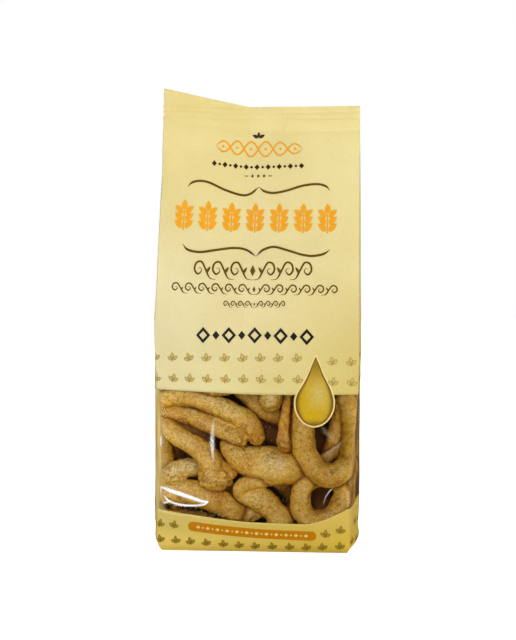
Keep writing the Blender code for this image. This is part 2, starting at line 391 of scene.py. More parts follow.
class Look:
    """A node material and short names for the nodes that this script uses."""

    def __init__(self, name):
        self.material = bpy.data.materials.new(name)
        self.material.use_nodes = True
        self.tree = self.material.node_tree
        self.shader = self.tree.nodes["Principled BSDF"]
        self.output = self.tree.nodes["Material Output"]
        self.place = self.node("ShaderNodeTexCoord").outputs["Object"]

    def node(self, kind, **values):
        n = self.tree.nodes.new(kind)
        for key, value in values.items():
            if key in n.inputs:
                n.inputs[key].default_value = value
            else:
                setattr(n, key, value)
        return n

    def link(self, a, b):
        self.tree.links.new(a, b)

    def noise(self, scale, detail=3.0, rough=0.55, stretch=None, distortion=0.0):
        n = self.node("ShaderNodeTexNoise", Scale=scale, Detail=detail, Roughness=rough, Distortion=distortion)
        self.link(self.stretched(stretch) if stretch else self.place, n.inputs["Vector"])
        return n.outputs["Fac"]

    def cells(self, scale, kind="F1", stretch=None):
        n = self.node("ShaderNodeTexVoronoi", Scale=scale)
        n.feature = kind
        self.link(self.stretched(stretch) if stretch else self.place, n.inputs["Vector"])
        return n.outputs["Distance"]

    def stretched(self, scale):
        n = self.node("ShaderNodeMapping")
        n.inputs["Scale"].default_value = scale
        self.link(self.place, n.inputs["Vector"])
        return n.outputs["Vector"]

    def ramp(self, value, *stops):
        n = self.node("ShaderNodeValToRGB")
        items = n.color_ramp.elements
        while len(items) < len(stops):
            items.new(0.5)
        for item, (at, colour) in zip(items, stops):
            item.position = at
            item.color = colour if not np.isscalar(colour) else (colour, colour, colour, 1)
        self.link(value, n.inputs["Fac"])
        return n.outputs["Color"]

    def mix(self, share, a, b, kind="MIX"):
        n = self.node("ShaderNodeMix", data_type="RGBA", blend_type=kind)
        for socket, value in ((n.inputs[0], share), (n.inputs[6], a), (n.inputs[7], b)):
            if isinstance(value, bpy.types.NodeSocket):
                self.link(value, socket)
            else:
                socket.default_value = value
        return n.outputs[2]

    def math(self, operation, a, b=0.0, clamp=False):
        n = self.node("ShaderNodeMath", operation=operation)
        n.use_clamp = clamp
        for socket, value in zip(n.inputs, (a, b)):
            if isinstance(value, bpy.types.NodeSocket):
                self.link(value, socket)
            else:
                socket.default_value = value
        return n.outputs[0]

    def attribute(self, name):
        n = self.node("ShaderNodeAttribute", attribute_name=name)
        return n.outputs["Fac"]

    def height(self, axis="Z"):
        n = self.node("ShaderNodeSeparateXYZ")
        self.link(self.place, n.inputs["Vector"])
        return n.outputs[axis]

    def bump(self, value, strength, distance, onto=None):
        n = self.node("ShaderNodeBump", Strength=strength, Distance=distance)
        self.link(value, n.inputs["Height"])
        if onto is not None:
            self.link(onto, n.inputs["Normal"])
        return n.outputs["Normal"]

    def finish(self, colour=None, roughness=None, normal=None):
        for value, socket in ((colour, "Base Color"), (roughness, "Roughness"), (normal, "Normal")):
            if value is not None:
                self.link(value, self.shader.inputs[socket])
        return self.material


FILM_ROUGH = (0.40, 0.52)


def film_finish(look, colour):
    """What all print shares: a fine uneven gloss and the faint ripple of thin film."""
    look.shader.inputs["Specular IOR Level"].default_value = 0.18
    colour = look.mix(1.0, colour, (0.90, 0.90, 0.90, 1), "MULTIPLY")
    gloss = look.ramp(look.noise(55, 4, 0.6), (0.3, FILM_ROUGH[0]), (0.7, FILM_ROUGH[1]))
    fine = look.bump(look.noise(2600, 2, 0.6), 0.05, 0.0001)
    broad = look.bump(look.noise(95, 3, 0.5, stretch=(1, 1, 0.6)), 0.22, 0.0012, fine)
    return look.finish(colour, gloss, broad)


def ground_look():
    look = Look("printed_film")
    # The level ramps are the print's cream and gold with painted light and shade in them: darker and more golden low on
    # the bag, partly painted shade where the film turns under, and paler on the left half, painted light from the lamp
    # side.
    level = look.math("DIVIDE", look.height(), 0.25)
    left = look.ramp(
        level,
        (0.0, linear(236, 213, 116)),
        (0.03, linear(234, 211, 116)),
        (0.05, linear(214, 194, 110)),
        (0.10, linear(211, 193, 115)),
        (0.36, linear(226, 218, 170)),
        (0.46, linear(223, 214, 171)),
        (0.62, linear(220, 210, 164)),
        (0.80, linear(221, 208, 151)),
        (1.0, linear(217, 202, 139)),
    )
    right = look.ramp(
        level,
        (0.0, linear(216, 187, 68)),
        (0.03, linear(208, 180, 68)),
        (0.05, linear(204, 177, 74)),
        (0.10, linear(206, 180, 92)),
        (0.36, linear(208, 193, 117)),
        (0.50, linear(212, 197, 135)),
        (0.62, linear(226, 215, 161)),
        (0.80, linear(230, 218, 162)),
        (1.0, linear(227, 214, 151)),
    )
    across = look.math("ADD", look.math("MULTIPLY", look.height("X"), 9.5), 0.5, clamp=True)
    tint = look.mix(across, left, right)
    cloud = look.ramp(look.noise(26, 3, 0.5), (0.3, linear(246, 243, 232)), (0.7, linear(255, 255, 255)))
    dots = look.ramp(look.noise(1400, 2, 0.6), (0.35, linear(250, 248, 240)), (0.6, linear(255, 255, 255)))
    tint = look.mix(1.0, tint, cloud, "MULTIPLY")
    tint = look.mix(1.0, tint, dots, "MULTIPLY")
    return film_finish(look, tint)


def ink_look(name, rgb, low=None, change=0.0):
    """A flat ink with faint uneven cover; low is its colour near the base, up to the level change."""
    look = Look(name)
    light = linear(*rgb)
    dark = tuple(c * 0.9 for c in light[:3]) + (1.0,)
    tint = look.ramp(look.noise(900, 3, 0.6), (0.32, dark), (0.55, light))
    if low:
        base = linear(*low)
        under = look.ramp(look.noise(900, 3, 0.6), (0.32, tuple(c * 0.9 for c in base[:3]) + (1.0,)), (0.55, base))
        share = look.ramp(look.math("DIVIDE", look.height(), 0.25), (change / 250 - 0.03, 0.0), (change / 250 + 0.03, 1.0))
        tint = look.mix(share, under, tint)
    film_finish(look, tint)
    look.shader.inputs["Specular IOR Level"].default_value = 0.08
    return look.material


def clear_look():
    """Thin clear film: it lets light through and adds the gloss of its face by Fresnel. Near its corners, most along
    the left one, it has a pale tan haze; painted highlights, lilac white, stand for glints of light on its creases; and
    where it is rubbed it has less gloss."""
    look = Look("clear_film")
    tree = look.tree
    tree.nodes.remove(look.shader)
    tone = look.mix(look.ramp(look.noise(40, 2, 0.5), (0.3, 0.0), (0.7, 1.0)), (0.985, 0.982, 0.972, 1), (0.995, 0.995, 0.992, 1))
    through = look.node("ShaderNodeBsdfTransparent")
    look.link(tone, through.inputs["Color"])
    gloss = look.node("ShaderNodeBsdfGlossy")
    gloss.inputs["Color"].default_value = (1, 1, 1, 1)
    rough = look.ramp(look.noise(70, 3, 0.6), (0.3, 0.04), (0.75, 0.075))
    look.link(rough, gloss.inputs["Roughness"])
    ripple = look.bump(look.noise(110, 2, 0.5, stretch=(1, 1, 0.55)), 0.10, 0.0010)
    fine = look.bump(look.noise(700, 2, 0.5, stretch=(1, 1, 0.4)), 0.06, 0.0001, ripple)
    look.link(fine, gloss.inputs["Normal"])
    share = look.node("ShaderNodeFresnel", IOR=1.42)
    look.link(fine, share.inputs["Normal"])
    kept = look.math("MULTIPLY", share.outputs[0], look.ramp(look.attribute("rubbed"), (0.0, 1.0), (1.0, 0.06)))
    both = look.node("ShaderNodeMixShader")
    look.link(kept, both.inputs[0])
    look.link(through.outputs[0], both.inputs[1])
    look.link(gloss.outputs[0], both.inputs[2])
    haze = look.node("ShaderNodeBsdfDiffuse")
    streaks = look.noise(330, 4, 0.6, stretch=(1, 1, 0.10))
    haze_tint = look.ramp(streaks, (0.3, linear(202, 174, 106)), (0.7, linear(228, 207, 144)))
    # Painted highlights: where the highlight share is high, the haze turns lilac white and covers the film, standing
    # for glints of light on its creases.
    painted_highlight_white = look.ramp(look.attribute("painted_highlight"), (0.02, 0.0), (0.30, 1.0))
    look.link(look.mix(painted_highlight_white, haze_tint, linear(252, 250, 255)), haze.inputs["Color"])
    look.link(fine, haze.inputs["Normal"])
    haze_and_painted_highlight = look.math("MULTIPLY", look.attribute("pale_haze"), look.ramp(streaks, (0.32, 0.55), (0.62, 1.0)), clamp=True)
    haze_and_painted_highlight = look.math("MAXIMUM", haze_and_painted_highlight, look.attribute("painted_highlight"))
    all_of_it = look.node("ShaderNodeMixShader")
    look.link(haze_and_painted_highlight, all_of_it.inputs[0])
    look.link(both.outputs[0], all_of_it.inputs[1])
    look.link(haze.outputs[0], all_of_it.inputs[2])
    look.link(all_of_it.outputs[0], look.output.inputs["Surface"])
    return look.material


def biscuit_look():
    look = Look("biscuit")
    patch = look.noise(120, 4, 0.6)
    mottle = look.noise(480, 7, 0.78, distortion=0.5)
    grain = look.noise(1500, 5, 0.75)
    crust = look.ramp(
        patch,
        (0.28, linear(236, 197, 100)),
        (0.46, linear(245, 213, 124)),
        (0.62, linear(249, 224, 148)),
        (0.80, linear(241, 204, 106)),
    )
    brown = look.ramp(mottle, (0.3, linear(192, 130, 14)), (0.7, linear(241, 184, 48)))
    crust = look.mix(look.attribute("bake"), crust, brown)
    pale = look.ramp(mottle, (0.3, linear(226, 197, 134)), (0.7, linear(255, 241, 196)))
    crust = look.mix(look.attribute("flour"), crust, pale)
    crust = look.mix(1.0, crust, look.ramp(mottle, (0.30, linear(192, 154, 86)), (0.43, linear(240, 228, 196)), (0.55, linear(255, 255, 250))), "MULTIPLY")
    rough_where = look.ramp(look.noise(95, 3, 0.55), (0.40, 0.55), (0.58, 1.0))
    crust = look.mix(rough_where, crust, look.ramp(grain, (0.35, linear(132, 92, 38)), (0.46, linear(236, 224, 194)), (0.56, linear(255, 255, 255))), "MULTIPLY")
    pores = look.ramp(look.cells(620), (0.06, linear(146, 92, 28)), (0.17, linear(255, 255, 255)))
    some = look.ramp(look.noise(210, 2, 0.5), (0.44, 0.0), (0.56, 0.7))
    crust = look.mix(some, crust, look.mix(1.0, crust, pores, "MULTIPLY"))
    # The crack share holds real cracks and also painted shade from the shade spots.
    cracks_and_shade = look.ramp(look.attribute("crack_and_shade"), (0.0, 0.0), (1.0, 0.7))
    crust = look.mix(cracks_and_shade, crust, linear(122, 74, 18))
    hair = look.math("ABSOLUTE", look.math("SUBTRACT", look.noise(260, 5, 0.65, distortion=0.8), 0.5))
    hairs = look.ramp(hair, (0.0, 1.0), (0.012, 0.0))
    where = look.ramp(look.noise(140, 2, 0.5), (0.50, 0.0), (0.60, 0.7))
    crust = look.mix(look.math("MULTIPLY", hairs, where), crust, linear(134, 86, 28))
    specks = look.ramp(look.cells(900), (0.08, 1.0), (0.20, 0.0))
    few = look.ramp(look.noise(160, 2, 0.5), (0.42, 0.0), (0.56, 0.85))
    crust = look.mix(look.math("MULTIPLY", specks, few), crust, linear(255, 242, 204))
    # Painted shade: deep darkens the crust towards brown, deep in the bag and in the crevices between biscuits.
    crust = look.mix(1.0, crust, look.ramp(look.attribute("deep"), (0.0, linear(255, 255, 255)), (0.45, linear(176, 138, 66)), (1.0, linear(100, 66, 12))), "MULTIPLY")
    # Painted shade: faces that look back into the bag get a warmer, less blue crust, as if lit by light bounced between
    # biscuits.
    crust = look.mix(1.0, crust, look.ramp(look.attribute("facing_shade"), (0.04, linear(254, 255, 255)), (0.22, linear(255, 252, 216)), (0.48, linear(252, 238, 146)), (0.90, linear(238, 214, 84))), "MULTIPLY")
    dry = look.ramp(mottle, (0.3, 0.62), (0.7, 0.82))
    rough = look.bump(grain, 0.85, 0.0005)
    lumps = look.bump(mottle, 0.85, 0.0011, rough)
    pits = look.bump(pores, 0.35, 0.0004, lumps)
    look.shader.inputs["Specular IOR Level"].default_value = 0.22
    return look.finish(crust, dry, pits)


def drop_look():
    look = Look("drop_print")
    base = linear(190, 158, 44)
    tint = look.mix(look.attribute("pale"), base, linear(198, 174, 90))
    tint = look.mix(look.attribute("glow"), tint, linear(194, 160, 0))
    tint = look.mix(look.attribute("shade"), tint, linear(104, 72, 0))
    tint = look.mix(1.0, tint, look.ramp(look.noise(700, 2, 0.6), (0.3, linear(243, 240, 228)), (0.6, linear(255, 255, 255))), "MULTIPLY")
    film_finish(look, tint)
    look.shader.inputs["Specular IOR Level"].default_value = 0.08
    return look.material


def floor_look():
    """White sweep: white where it is seen, and a softer bounce on what stands on it."""
    look = Look("floor")
    tint = look.ramp(look.noise(3, 3, 0.5), (0.3, linear(250, 250, 250)), (0.7, linear(254, 254, 254)))
    look.shader.inputs["Specular IOR Level"].default_value = 0.1
    look.shader.inputs["Emission Color"].default_value = (1, 1, 1, 1)
    look.shader.inputs["Emission Strength"].default_value = 0.70
    grit = look.bump(look.noise(900, 2, 0.5), 0.02, 0.0002)
    look.finish(tint, look.ramp(look.noise(40, 2, 0.5), (0.3, 0.7), (0.7, 0.8)), grit)
    bounce = look.node("ShaderNodeBsdfDiffuse")
    bounce.inputs["Color"].default_value = (0.92, 0.88, 0.76, 1)
    seen = look.node("ShaderNodeLightPath")
    dim = look.node("ShaderNodeEmission", Strength=0.10)
    dim.inputs["Color"].default_value = (1.0, 0.78, 0.42, 1)
    soft = look.node("ShaderNodeMixShader")
    look.link(seen.outputs["Is Glossy Ray"], soft.inputs[0])
    look.link(bounce.outputs[0], soft.inputs[1])
    look.link(dim.outputs[0], soft.inputs[2])
    both = look.node("ShaderNodeMixShader")
    look.link(seen.outputs["Is Camera Ray"], both.inputs[0])
    look.link(soft.outputs[0], both.inputs[1])
    look.link(look.shader.outputs[0], both.inputs[2])
    look.link(both.outputs[0], look.output.inputs["Surface"])
    return look.material


# ---------------------------------------------------------------- meshes
def new_mesh(name, points, faces, material, values=None, flat=False):
    mesh = bpy.data.meshes.new(name)
    mesh.from_pydata((np.asarray(points, float) * MM).tolist(), [], [list(map(int, f)) for f in faces])
    mesh.validate()
    for key, value in (values or {}).items():
        attribute = mesh.attributes.new(key, "FLOAT", "POINT")
        attribute.data.foreach_set("value", np.asarray(value, np.float32))
    if not flat:
        mesh.shade_smooth()
    mesh.materials.append(material)
    obj = bpy.data.objects.new(name, mesh)
    bpy.context.scene.collection.objects.link(obj)
    return obj


def grid_faces(rows, cols, start=0):
    k = np.arange(rows * cols).reshape(rows, cols) + start
    return np.stack([k[:-1, :-1], k[:-1, 1:], k[1:, 1:], k[1:, :-1]], -1).reshape(-1, 4)


class Sheet:
    """Print laid on the film: patches of film points gathered into one piece."""

    def __init__(self):
        self.points, self.faces, self.values, self.count = [], [], {}, 0

    def patch(self, ut, panel="front", lift=0.07, **values):
        ut = np.asarray(ut, float)
        p = film(panel, ut[..., 0], ut[..., 1], lift)
        if panel == "front":  # what runs past a front corner goes on round the side
            for sign, side in ((-1, "left"), (1, "right")):
                past = ut[..., 0] * sign - half_width(sign, ut[..., 1])
                over = past > 0
                if over.any():
                    depth = ramp(HALF_DEPTH, ut[..., 1][over])
                    p[over] = film(side, past[over] - depth, ut[..., 1][over], lift)
        faces = grid_faces(*ut.shape[:2], self.count)
        e1, e2 = ut[:-1, 1:] - ut[:-1, :-1], ut[1:, :-1] - ut[:-1, :-1]
        if (e1[..., 0] * e2[..., 1] - e1[..., 1] * e2[..., 0]).sum() * OUTWARD[panel] < 0:
            faces = faces[:, ::-1]
        self.points.append(p.reshape(-1, 3))
        self.faces.append(faces)
        self.count += ut.shape[0] * ut.shape[1]
        for key, value in values.items():
            self.values.setdefault(key, []).append(np.asarray(value, float).ravel())

    def stroke(self, line, width, panel="front", lift=0.07, taper=0.0, step=0.7, across=2, closed=False):
        """A line of the given width through the points of line; taper is the length of its thin ends."""
        pts = curve_through(np.array(line, float), step, closed)
        d = np.gradient(pts, axis=0)
        if closed:
            d[0] = d[-1] = pts[1] - pts[-2]
        n = np.stack([-d[:, 1], d[:, 0]], -1)
        n /= np.maximum(np.linalg.norm(n, axis=1, keepdims=True), 1e-9)
        run = np.concatenate([[0], np.cumsum(np.linalg.norm(np.diff(pts, axis=0), axis=1))])
        w = np.full(len(pts), width / 2)
        if taper:
            ends = np.minimum(run, run[-1] - run)
            w = w * (0.22 + 0.78 * smooth(ends, 0, taper))
        k = np.linspace(-1, 1, across)
        self.patch(pts[:, None] + n[:, None] * (w[:, None] * k)[..., None], panel, lift)

    def leaf(self, u, t, length, width, angle, panel="front", lift=0.07, bend=0.0, rows=8, across=3):
        """A pointed oval that starts at (u, t) and grows towards angle, in degrees from straight up."""
        s = np.linspace(0, 1, rows)
        half = width / 2 * np.sin(np.pi * s**0.85) ** 0.8
        half[0] = half[-1] = 0.02
        side = np.linspace(-1, 1, across)
        a = math.radians(angle)
        along, over = s[:, None] * length, half[:, None] * side + (bend * length * s * (1 - s) * 2)[:, None]
        self.patch(
            np.stack([u + along * math.sin(a) + over * math.cos(a), t + along * math.cos(a) - over * math.sin(a)], -1),
            panel, lift,
        )

    def outline(self, u, t, length, width, angle, line, panel="front", lift=0.10, bend=0.0):
        s = np.linspace(0, 1, 9)
        half = width / 2 * np.sin(np.pi * s**0.85) ** 0.8
        half[0] = half[-1] = 0.0
        a = math.radians(angle)
        for side in (-1, 1):
            over = half * side + bend * length * s * (1 - s) * 2
            pts = np.stack([u + s * length * math.sin(a) + over * math.cos(a), t + s * length * math.cos(a) - over * math.sin(a)], -1)
            self.stroke(pts, line, panel, lift, step=0.55)

    def disc(self, u, t, radius, panel="front", lift=0.07, squash=1.0, sides=12):
        a = np.linspace(0, 2 * np.pi, sides + 1)[:, None]
        r = np.linspace(0.02, 1, 2) * radius
        self.patch(np.stack([u + r * np.cos(a), t + r * np.sin(a) * squash], -1), panel, lift)

    def lozenge(self, u, t, width, height, panel="front", lift=0.07, turn=0.0):
        k = np.linspace(-1, 1, 3)
        a, b = np.meshgrid(k, k)
        du, dt = (a - b) / 2 * width / 2 * 1.0, (a + b) / 2 * height / 2 * 1.0
        c, s = math.cos(math.radians(turn)), math.sin(math.radians(turn))
        self.patch(np.stack([u + (du * c - dt * s), t + (du * s + dt * c)], -1), panel, lift)

    def lozenge_ring(self, u, t, width, height, thick, panel="front", lift=0.07):
        corners = [(u, t + height / 2), (u + width / 2, t), (u, t - height / 2), (u - width / 2, t)]
        inner = [(u, t + height / 2 - thick * 1.5), (u + width / 2 - thick * 1.25, t), (u, t - height / 2 + thick * 1.5), (u - width / 2 + thick * 1.25, t)]
        for k in range(4):
            a, b = np.array(corners[k]), np.array(corners[(k + 1) % 4])
            c, d = np.array(inner[k]), np.array(inner[(k + 1) % 4])
            s = np.linspace(0, 1, 4)[:, None, None]
            w = np.linspace(0, 1, 2)[None, :, None]
            self.patch((a * (1 - s) + b * s) * (1 - w) + (c * (1 - s) + d * s) * w, panel, lift)

    def build(self, name, material, slot="printed_film"):
        values = {k: np.concatenate(v) for k, v in self.values.items()}
        obj = new_mesh(name, np.concatenate(self.points), np.concatenate(self.faces), material, values)
        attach(obj, "root")
        return obj


def curve_through(points, step, closed=False):
    """Catmull-Rom curve through points of any dimension, sampled about every step."""
    pts = np.asarray(points, float)
    if len(pts) == 2 and not closed:
        n = max(2, int(np.linalg.norm(pts[1] - pts[0]) / step) + 1)
        return pts[0] + (pts[1] - pts[0]) * np.linspace(0, 1, n)[:, None]
    if closed:
        loop = np.vstack([pts[-1], pts, pts[0], pts[1]])
    else:
        loop = np.vstack([2 * pts[0] - pts[1], pts, 2 * pts[-1] - pts[-2]])
    out = []
    for a, b, c, d in zip(loop, loop[1:], loop[2:], loop[3:]):
        n = max(1, int(round(np.linalg.norm((c - b)[: 3 if pts.shape[1] > 2 else 2]) / step)))
        s = (np.arange(n) / n)[:, None]
        out.append(0.5 * (2 * b + (c - a) * s + (2 * a - 5 * b + 4 * c - d) * s**2 + (3 * b - a - 3 * c + d) * s**3))
    out.append(loop[-2][None])
    return np.vstack(out)


# ---------------------------------------------------------------- film pieces
WINDOW_TOP = ((-51.1, 88.3), (-41.8, 88.0), (-27.8, 87.6), (-13.7, 87.1), (1.9, 86.6), (23.6, 86.4), (41.5, 86.3), (55.8, 86.0))
WINDOW_FOOT = (
    (-51.7, 23.7), (-42.7, 22.1), (-33.8, 21.1), (-26.1, 20.2), (-16.9, 19.1), (-2.3, 17.7), (9.5, 17.2),
    (21.3, 16.9), (28.7, 16.8), (36.8, 18.5), (44.7, 21.7), (51.1, 24.8),
)
SEAL_FROM = 229.0


def window_span(panel, share):
    """Lower and upper level of the clear part at a place across a panel, -1 to 1."""
    share = np.asarray(share, float)
    if panel == "front":
        foot_x, foot_t = np.array(WINDOW_FOOT).T
        top_x, top_t = np.array(WINDOW_TOP).T
        x = np.where(share < 0, share * 51.9, share * 51.8)
        return ramp(WINDOW_FOOT, np.clip(x, foot_x[0], foot_x[-1])), ramp(WINDOW_TOP, np.clip(share * 54, top_x[0], top_x[-1]))
    if panel == "right":
        return 24.8 + 4.6 * smooth(share, -1, -0.4), 86.0 + 0.9 * smooth(share, -1, 1)
    if panel == "left":
        return 23.7 + 5.7 * smooth(share, -1, 0.2), 88.3 - 1.4 * smooth(share, -1, 1)
    return 29.4 + 0 * share, 86.9 + 0 * share


def spaced(ends, extra):
    """Even columns between -1 and 1 and extra ones where a fold or a ridge needs them."""
    return np.unique(np.round(np.concatenate([np.linspace(-1, 1, ends), *[np.linspace(a, b, n) for a, b, n in extra]]), 5))


def column_points(panel, share, t):
    """Plain bag points and u for a block of columns; share and t are matching arrays."""
    if panel in ("front", "back"):
        u = share * half_width(np.sign(share), t)
    else:
        u = share * ramp(HALF_DEPTH, t)
    return u, bag_point(panel, u, t)


def wrap(panels, rows_of):
    """Grid of film points round the bag: panels is [(name, shares)], rows_of(name, share) gives the levels of a column."""
    names, shares, levels = [], [], []
    for name, columns in panels:
        for share in columns:
            names.append(name)
            shares.append(share)
            levels.append(rows_of(name, share))
    shares, levels = np.array(shares), np.array(levels).T  # rows x columns
    plain, lift = np.zeros((*levels.shape, 3)), np.zeros(levels.shape)
    names = np.array(names)
    for name in dict.fromkeys(names):
        pick = names == name
        u, p = column_points(name, np.broadcast_to(shares[pick], (levels.shape[0], pick.sum())), levels[:, pick])
        plain[:, pick] = p
        lift[:, pick] = relief(name, u, levels[:, pick], p)
    return names, plain, lift, levels


def surface_normals(plain, closed):
    if closed:
        across = np.roll(plain, -1, 1) - np.roll(plain, 1, 1)
    else:
        across = np.gradient(plain, axis=1)
    n = np.cross(across, np.gradient(plain, axis=0))
    return n / np.maximum(np.linalg.norm(n, axis=-1, keepdims=True), 1e-9)


FRONT_COLUMNS = spaced(83, [(-0.17, 0.0, 22), (0.2, 0.3, 9), (-1, -0.96, 4), (0.96, 1, 4)])
SIDE_COLUMNS = spaced(25, [(-0.12, 0.12, 6)])
BACK_COLUMNS = spaced(47, [(-0.17, 0.0, 9), (-1, -0.96, 3), (0.96, 1, 3)])
FOOT_ROWS = np.array([0, 0.015, 0.035, 0.06, 0.09, 0.13, 0.18, 0.24, 0.31, 0.38, 0.46, 0.54, 0.62, 0.70, 0.78, 0.86, 0.93, 1.0])
MIDDLE_ROWS = np.linspace(0, 1, 33)
UPPER_ROWS = np.linspace(0, 1, 93)
SEAL_ROWS = np.linspace(0, 1, 41)


def printed_film():
    ring = [
        ("front", FRONT_COLUMNS), ("right", SIDE_COLUMNS[1:-1]),
        ("back", BACK_COLUMNS[::-1]), ("left", SIDE_COLUMNS[1:-1][::-1]),
    ]

    def rows_of(name, share):
        low, high = (float(x) for x in window_span(name, share))
        return np.concatenate([
            low * FOOT_ROWS,
            (low + (high - low) * MIDDLE_ROWS)[1:],
            (high + (SEAL_FROM - high) * UPPER_ROWS)[1:],
            (SEAL_FROM + (HEIGHT - SEAL_FROM) * SEAL_ROWS)[1:],
        ])

    names, plain, lift, levels = wrap(ring, rows_of)
    normals = surface_normals(plain, True)
    points = plain + normals * lift[..., None]
    rows, cols = levels.shape
    k = np.arange(rows * cols).reshape(rows, cols)
    right = np.roll(k, -1, 1)
    quads = np.stack([k[:-1], right[:-1], right[1:], k[1:]], -1)
    foot_end, middle_end = len(FOOT_ROWS) - 1, len(FOOT_ROWS) - 1 + len(MIDDLE_ROWS) - 1
    shown = np.ones(quads.shape[:2], bool)
    clear = (names != "back") & (np.roll(names, -1) != "back")
    clear |= (names == "right") & (np.roll(names, -1) == "back")
    clear |= (names == "back") & (np.roll(names, -1) == "left")
    shown[foot_end:middle_end, clear] = False
    faces = [list(f) for f in quads[shown]]
    points = points.reshape(-1, 3)
    # the folded base: rings that close in on a short middle line, just above the floor
    ring_points = points[k[0]]
    base, last = [], k[0]
    count = len(points)
    for n, share in enumerate((0.97, 0.93, 0.86, 0.72, 0.54, 0.36, 0.18, 0.03)):
        inner = ring_points * (share, share, 1)
        inner[:, 2] = 0.05 + 0.55 * smooth(1 - share, 0.02, 0.2) + 0.10 * noise3(inner / 12, 8)
        ids = np.arange(cols) + count
        base.append(inner)
        faces += [[last[(i + 1) % cols], last[i], ids[i], ids[(i + 1) % cols]] for i in range(cols)]
        last, count = ids, count + cols
    faces.append([int(i) for i in last[::-1]])
    points = np.vstack([points, *base])
    used = np.zeros(len(points), bool)
    for f in faces:
        used[list(f)] = True
    index = np.cumsum(used) - 1
    faces = [[int(index[i]) for i in f] for f in faces]
    obj = new_mesh("printed_film", points[used], faces, ground_look())
    solid = obj.modifiers.new("thickness", "SOLIDIFY")
    solid.thickness = 0.12 * MM
    solid.offset = -1.0
    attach(obj, "root")
    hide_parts("filled_bag")
    return obj


def clear_film():
    strip = [
        ("left", SIDE_COLUMNS[::-1]), ("front", spaced(121, [(-1, -0.36, 130), (0.6, 1, 60)])[1:-1]), ("right", SIDE_COLUMNS),
    ]

    def rows_of(name, share):
        low, high = (float(x) for x in window_span(name, share))
        share = np.concatenate([np.linspace(0, 0.34, 66), np.linspace(0.34, 1, 78)[1:]])
        return low - 1.6 + (high - low + 3.2) * share

    names, plain, lift, levels = wrap(strip, rows_of)
    normals = surface_normals(plain, False)
    points = plain + normals * (lift - 0.17)[..., None]
    side_share = np.concatenate([columns for _, columns in strip])
    pale_haze = np.zeros(levels.shape)
    # A pale tan haze near the corners, strongest along the left one and narrower at the top there.
    for name, corner, reach, amount in (("front", -1, 0.105, 0.50), ("front", -1, 0.045, 0.93), ("front", 1, 0.03, 0.16), ("left", -1, 0.7, 0.70), ("left", -1, 0.12, 0.93), ("right", -1, 0.25, 0.12)):
        at = names == name
        away = np.abs(side_share[at] - corner) / reach
        wave = 1 + 0.30 * noise3(np.stack([levels[:, at] / 9, 0 * levels[:, at], 0 * levels[:, at]], -1), 31)
        if name == "front" and corner < 0:  # narrow at the top and wide lower down
            wave = wave * (0.60 + 0.55 * smooth(levels[:, at], 84, 66))
        pale_haze[:, at] = np.maximum(pale_haze[:, at], amount * (1 - smooth(away / wave, 0.20, 1.0)))
    for name, amount in (("left", 0.10), ("right", 0.02), ("front", 0.0)):
        pale_haze[:, names == name] += amount
    at = names == "front"
    u, _ = column_points("front", np.broadcast_to(side_share[at], levels[:, at].shape), levels[:, at])
    painted_highlight = np.zeros(levels.shape)
    broken = 0.72 + 0.9 * noise3(np.stack([u / 0.7, 0 * u, levels[:, at] / 1.3], -1), 33)
    frayed = np.clip(1.0 + 0.60 * noise3(np.stack([u / 0.9, 0 * u, levels[:, at] / 0.5], -1), 35), 0.40, 1.0)
    # Each stroke is a painted highlight, a glint of light on the film laid in as colour.
    for n, places in enumerate(PAINTED_HIGHLIGHTS):
        share = stroke_share(u, levels[:, at], places)
        if 1 <= n <= 4:
            share = share * frayed
        if n == 0:  # a soft streak, broken by the fine wrinkles of the film
            share = share * np.clip(broken, 0.25, 1.15)
        painted_highlight[:, at] = np.maximum(painted_highlight[:, at], share)
    rubbed = np.zeros(levels.shape)
    for name, near, far in (("front", 0.17, 0.24), ("left", 0.5, 1.1)):
        at = names == name
        rubbed[:, at] = 1 - smooth(np.abs(side_share[at] + 1), near, far)
    values = {"pale_haze": pale_haze.ravel(), "painted_highlight": painted_highlight.ravel(), "rubbed": rubbed.ravel()}
    obj = new_mesh("clear_film", points.reshape(-1, 3), grid_faces(*levels.shape), clear_look(), values)
    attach(obj, "root")
    return obj


def seal_edge():
    """The fused film between front and back along the cut edge of the top seal."""
    u = np.linspace(-1, 1, 140)
    x = u * half_width(np.sign(u), HEIGHT) * 0.999
    y = np.linspace(-1, 1, 5)
    top = []
    for level in (HEIGHT - 0.05, HEIGHT - 1.6):
        a, b = film("front", x, level + 0 * x, -0.06), film("back", x, level + 0 * x, -0.06)
        top.append([a + (b - a) * ((k + 1) / 2) for k in y])
    points = np.concatenate([np.array(top[0]), np.array(top[1])[::-1]])  # over the edge and back under it
    rows, cols = points.shape[:2]
    faces = [list(f) for f in grid_faces(rows, cols)]
    k = np.arange(rows * cols).reshape(rows, cols)
    faces += [[k[-1, i], k[-1, i + 1], k[0, i + 1], k[0, i]] for i in range(cols - 1)]
    faces += [[int(k[r, 0]) for r in range(rows)][::-1], [int(k[r, -1]) for r in range(rows)]]
    obj = new_mesh("seal_edge", points.reshape(-1, 3), faces, ground_look.material)
    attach(obj, "root")
    return obj


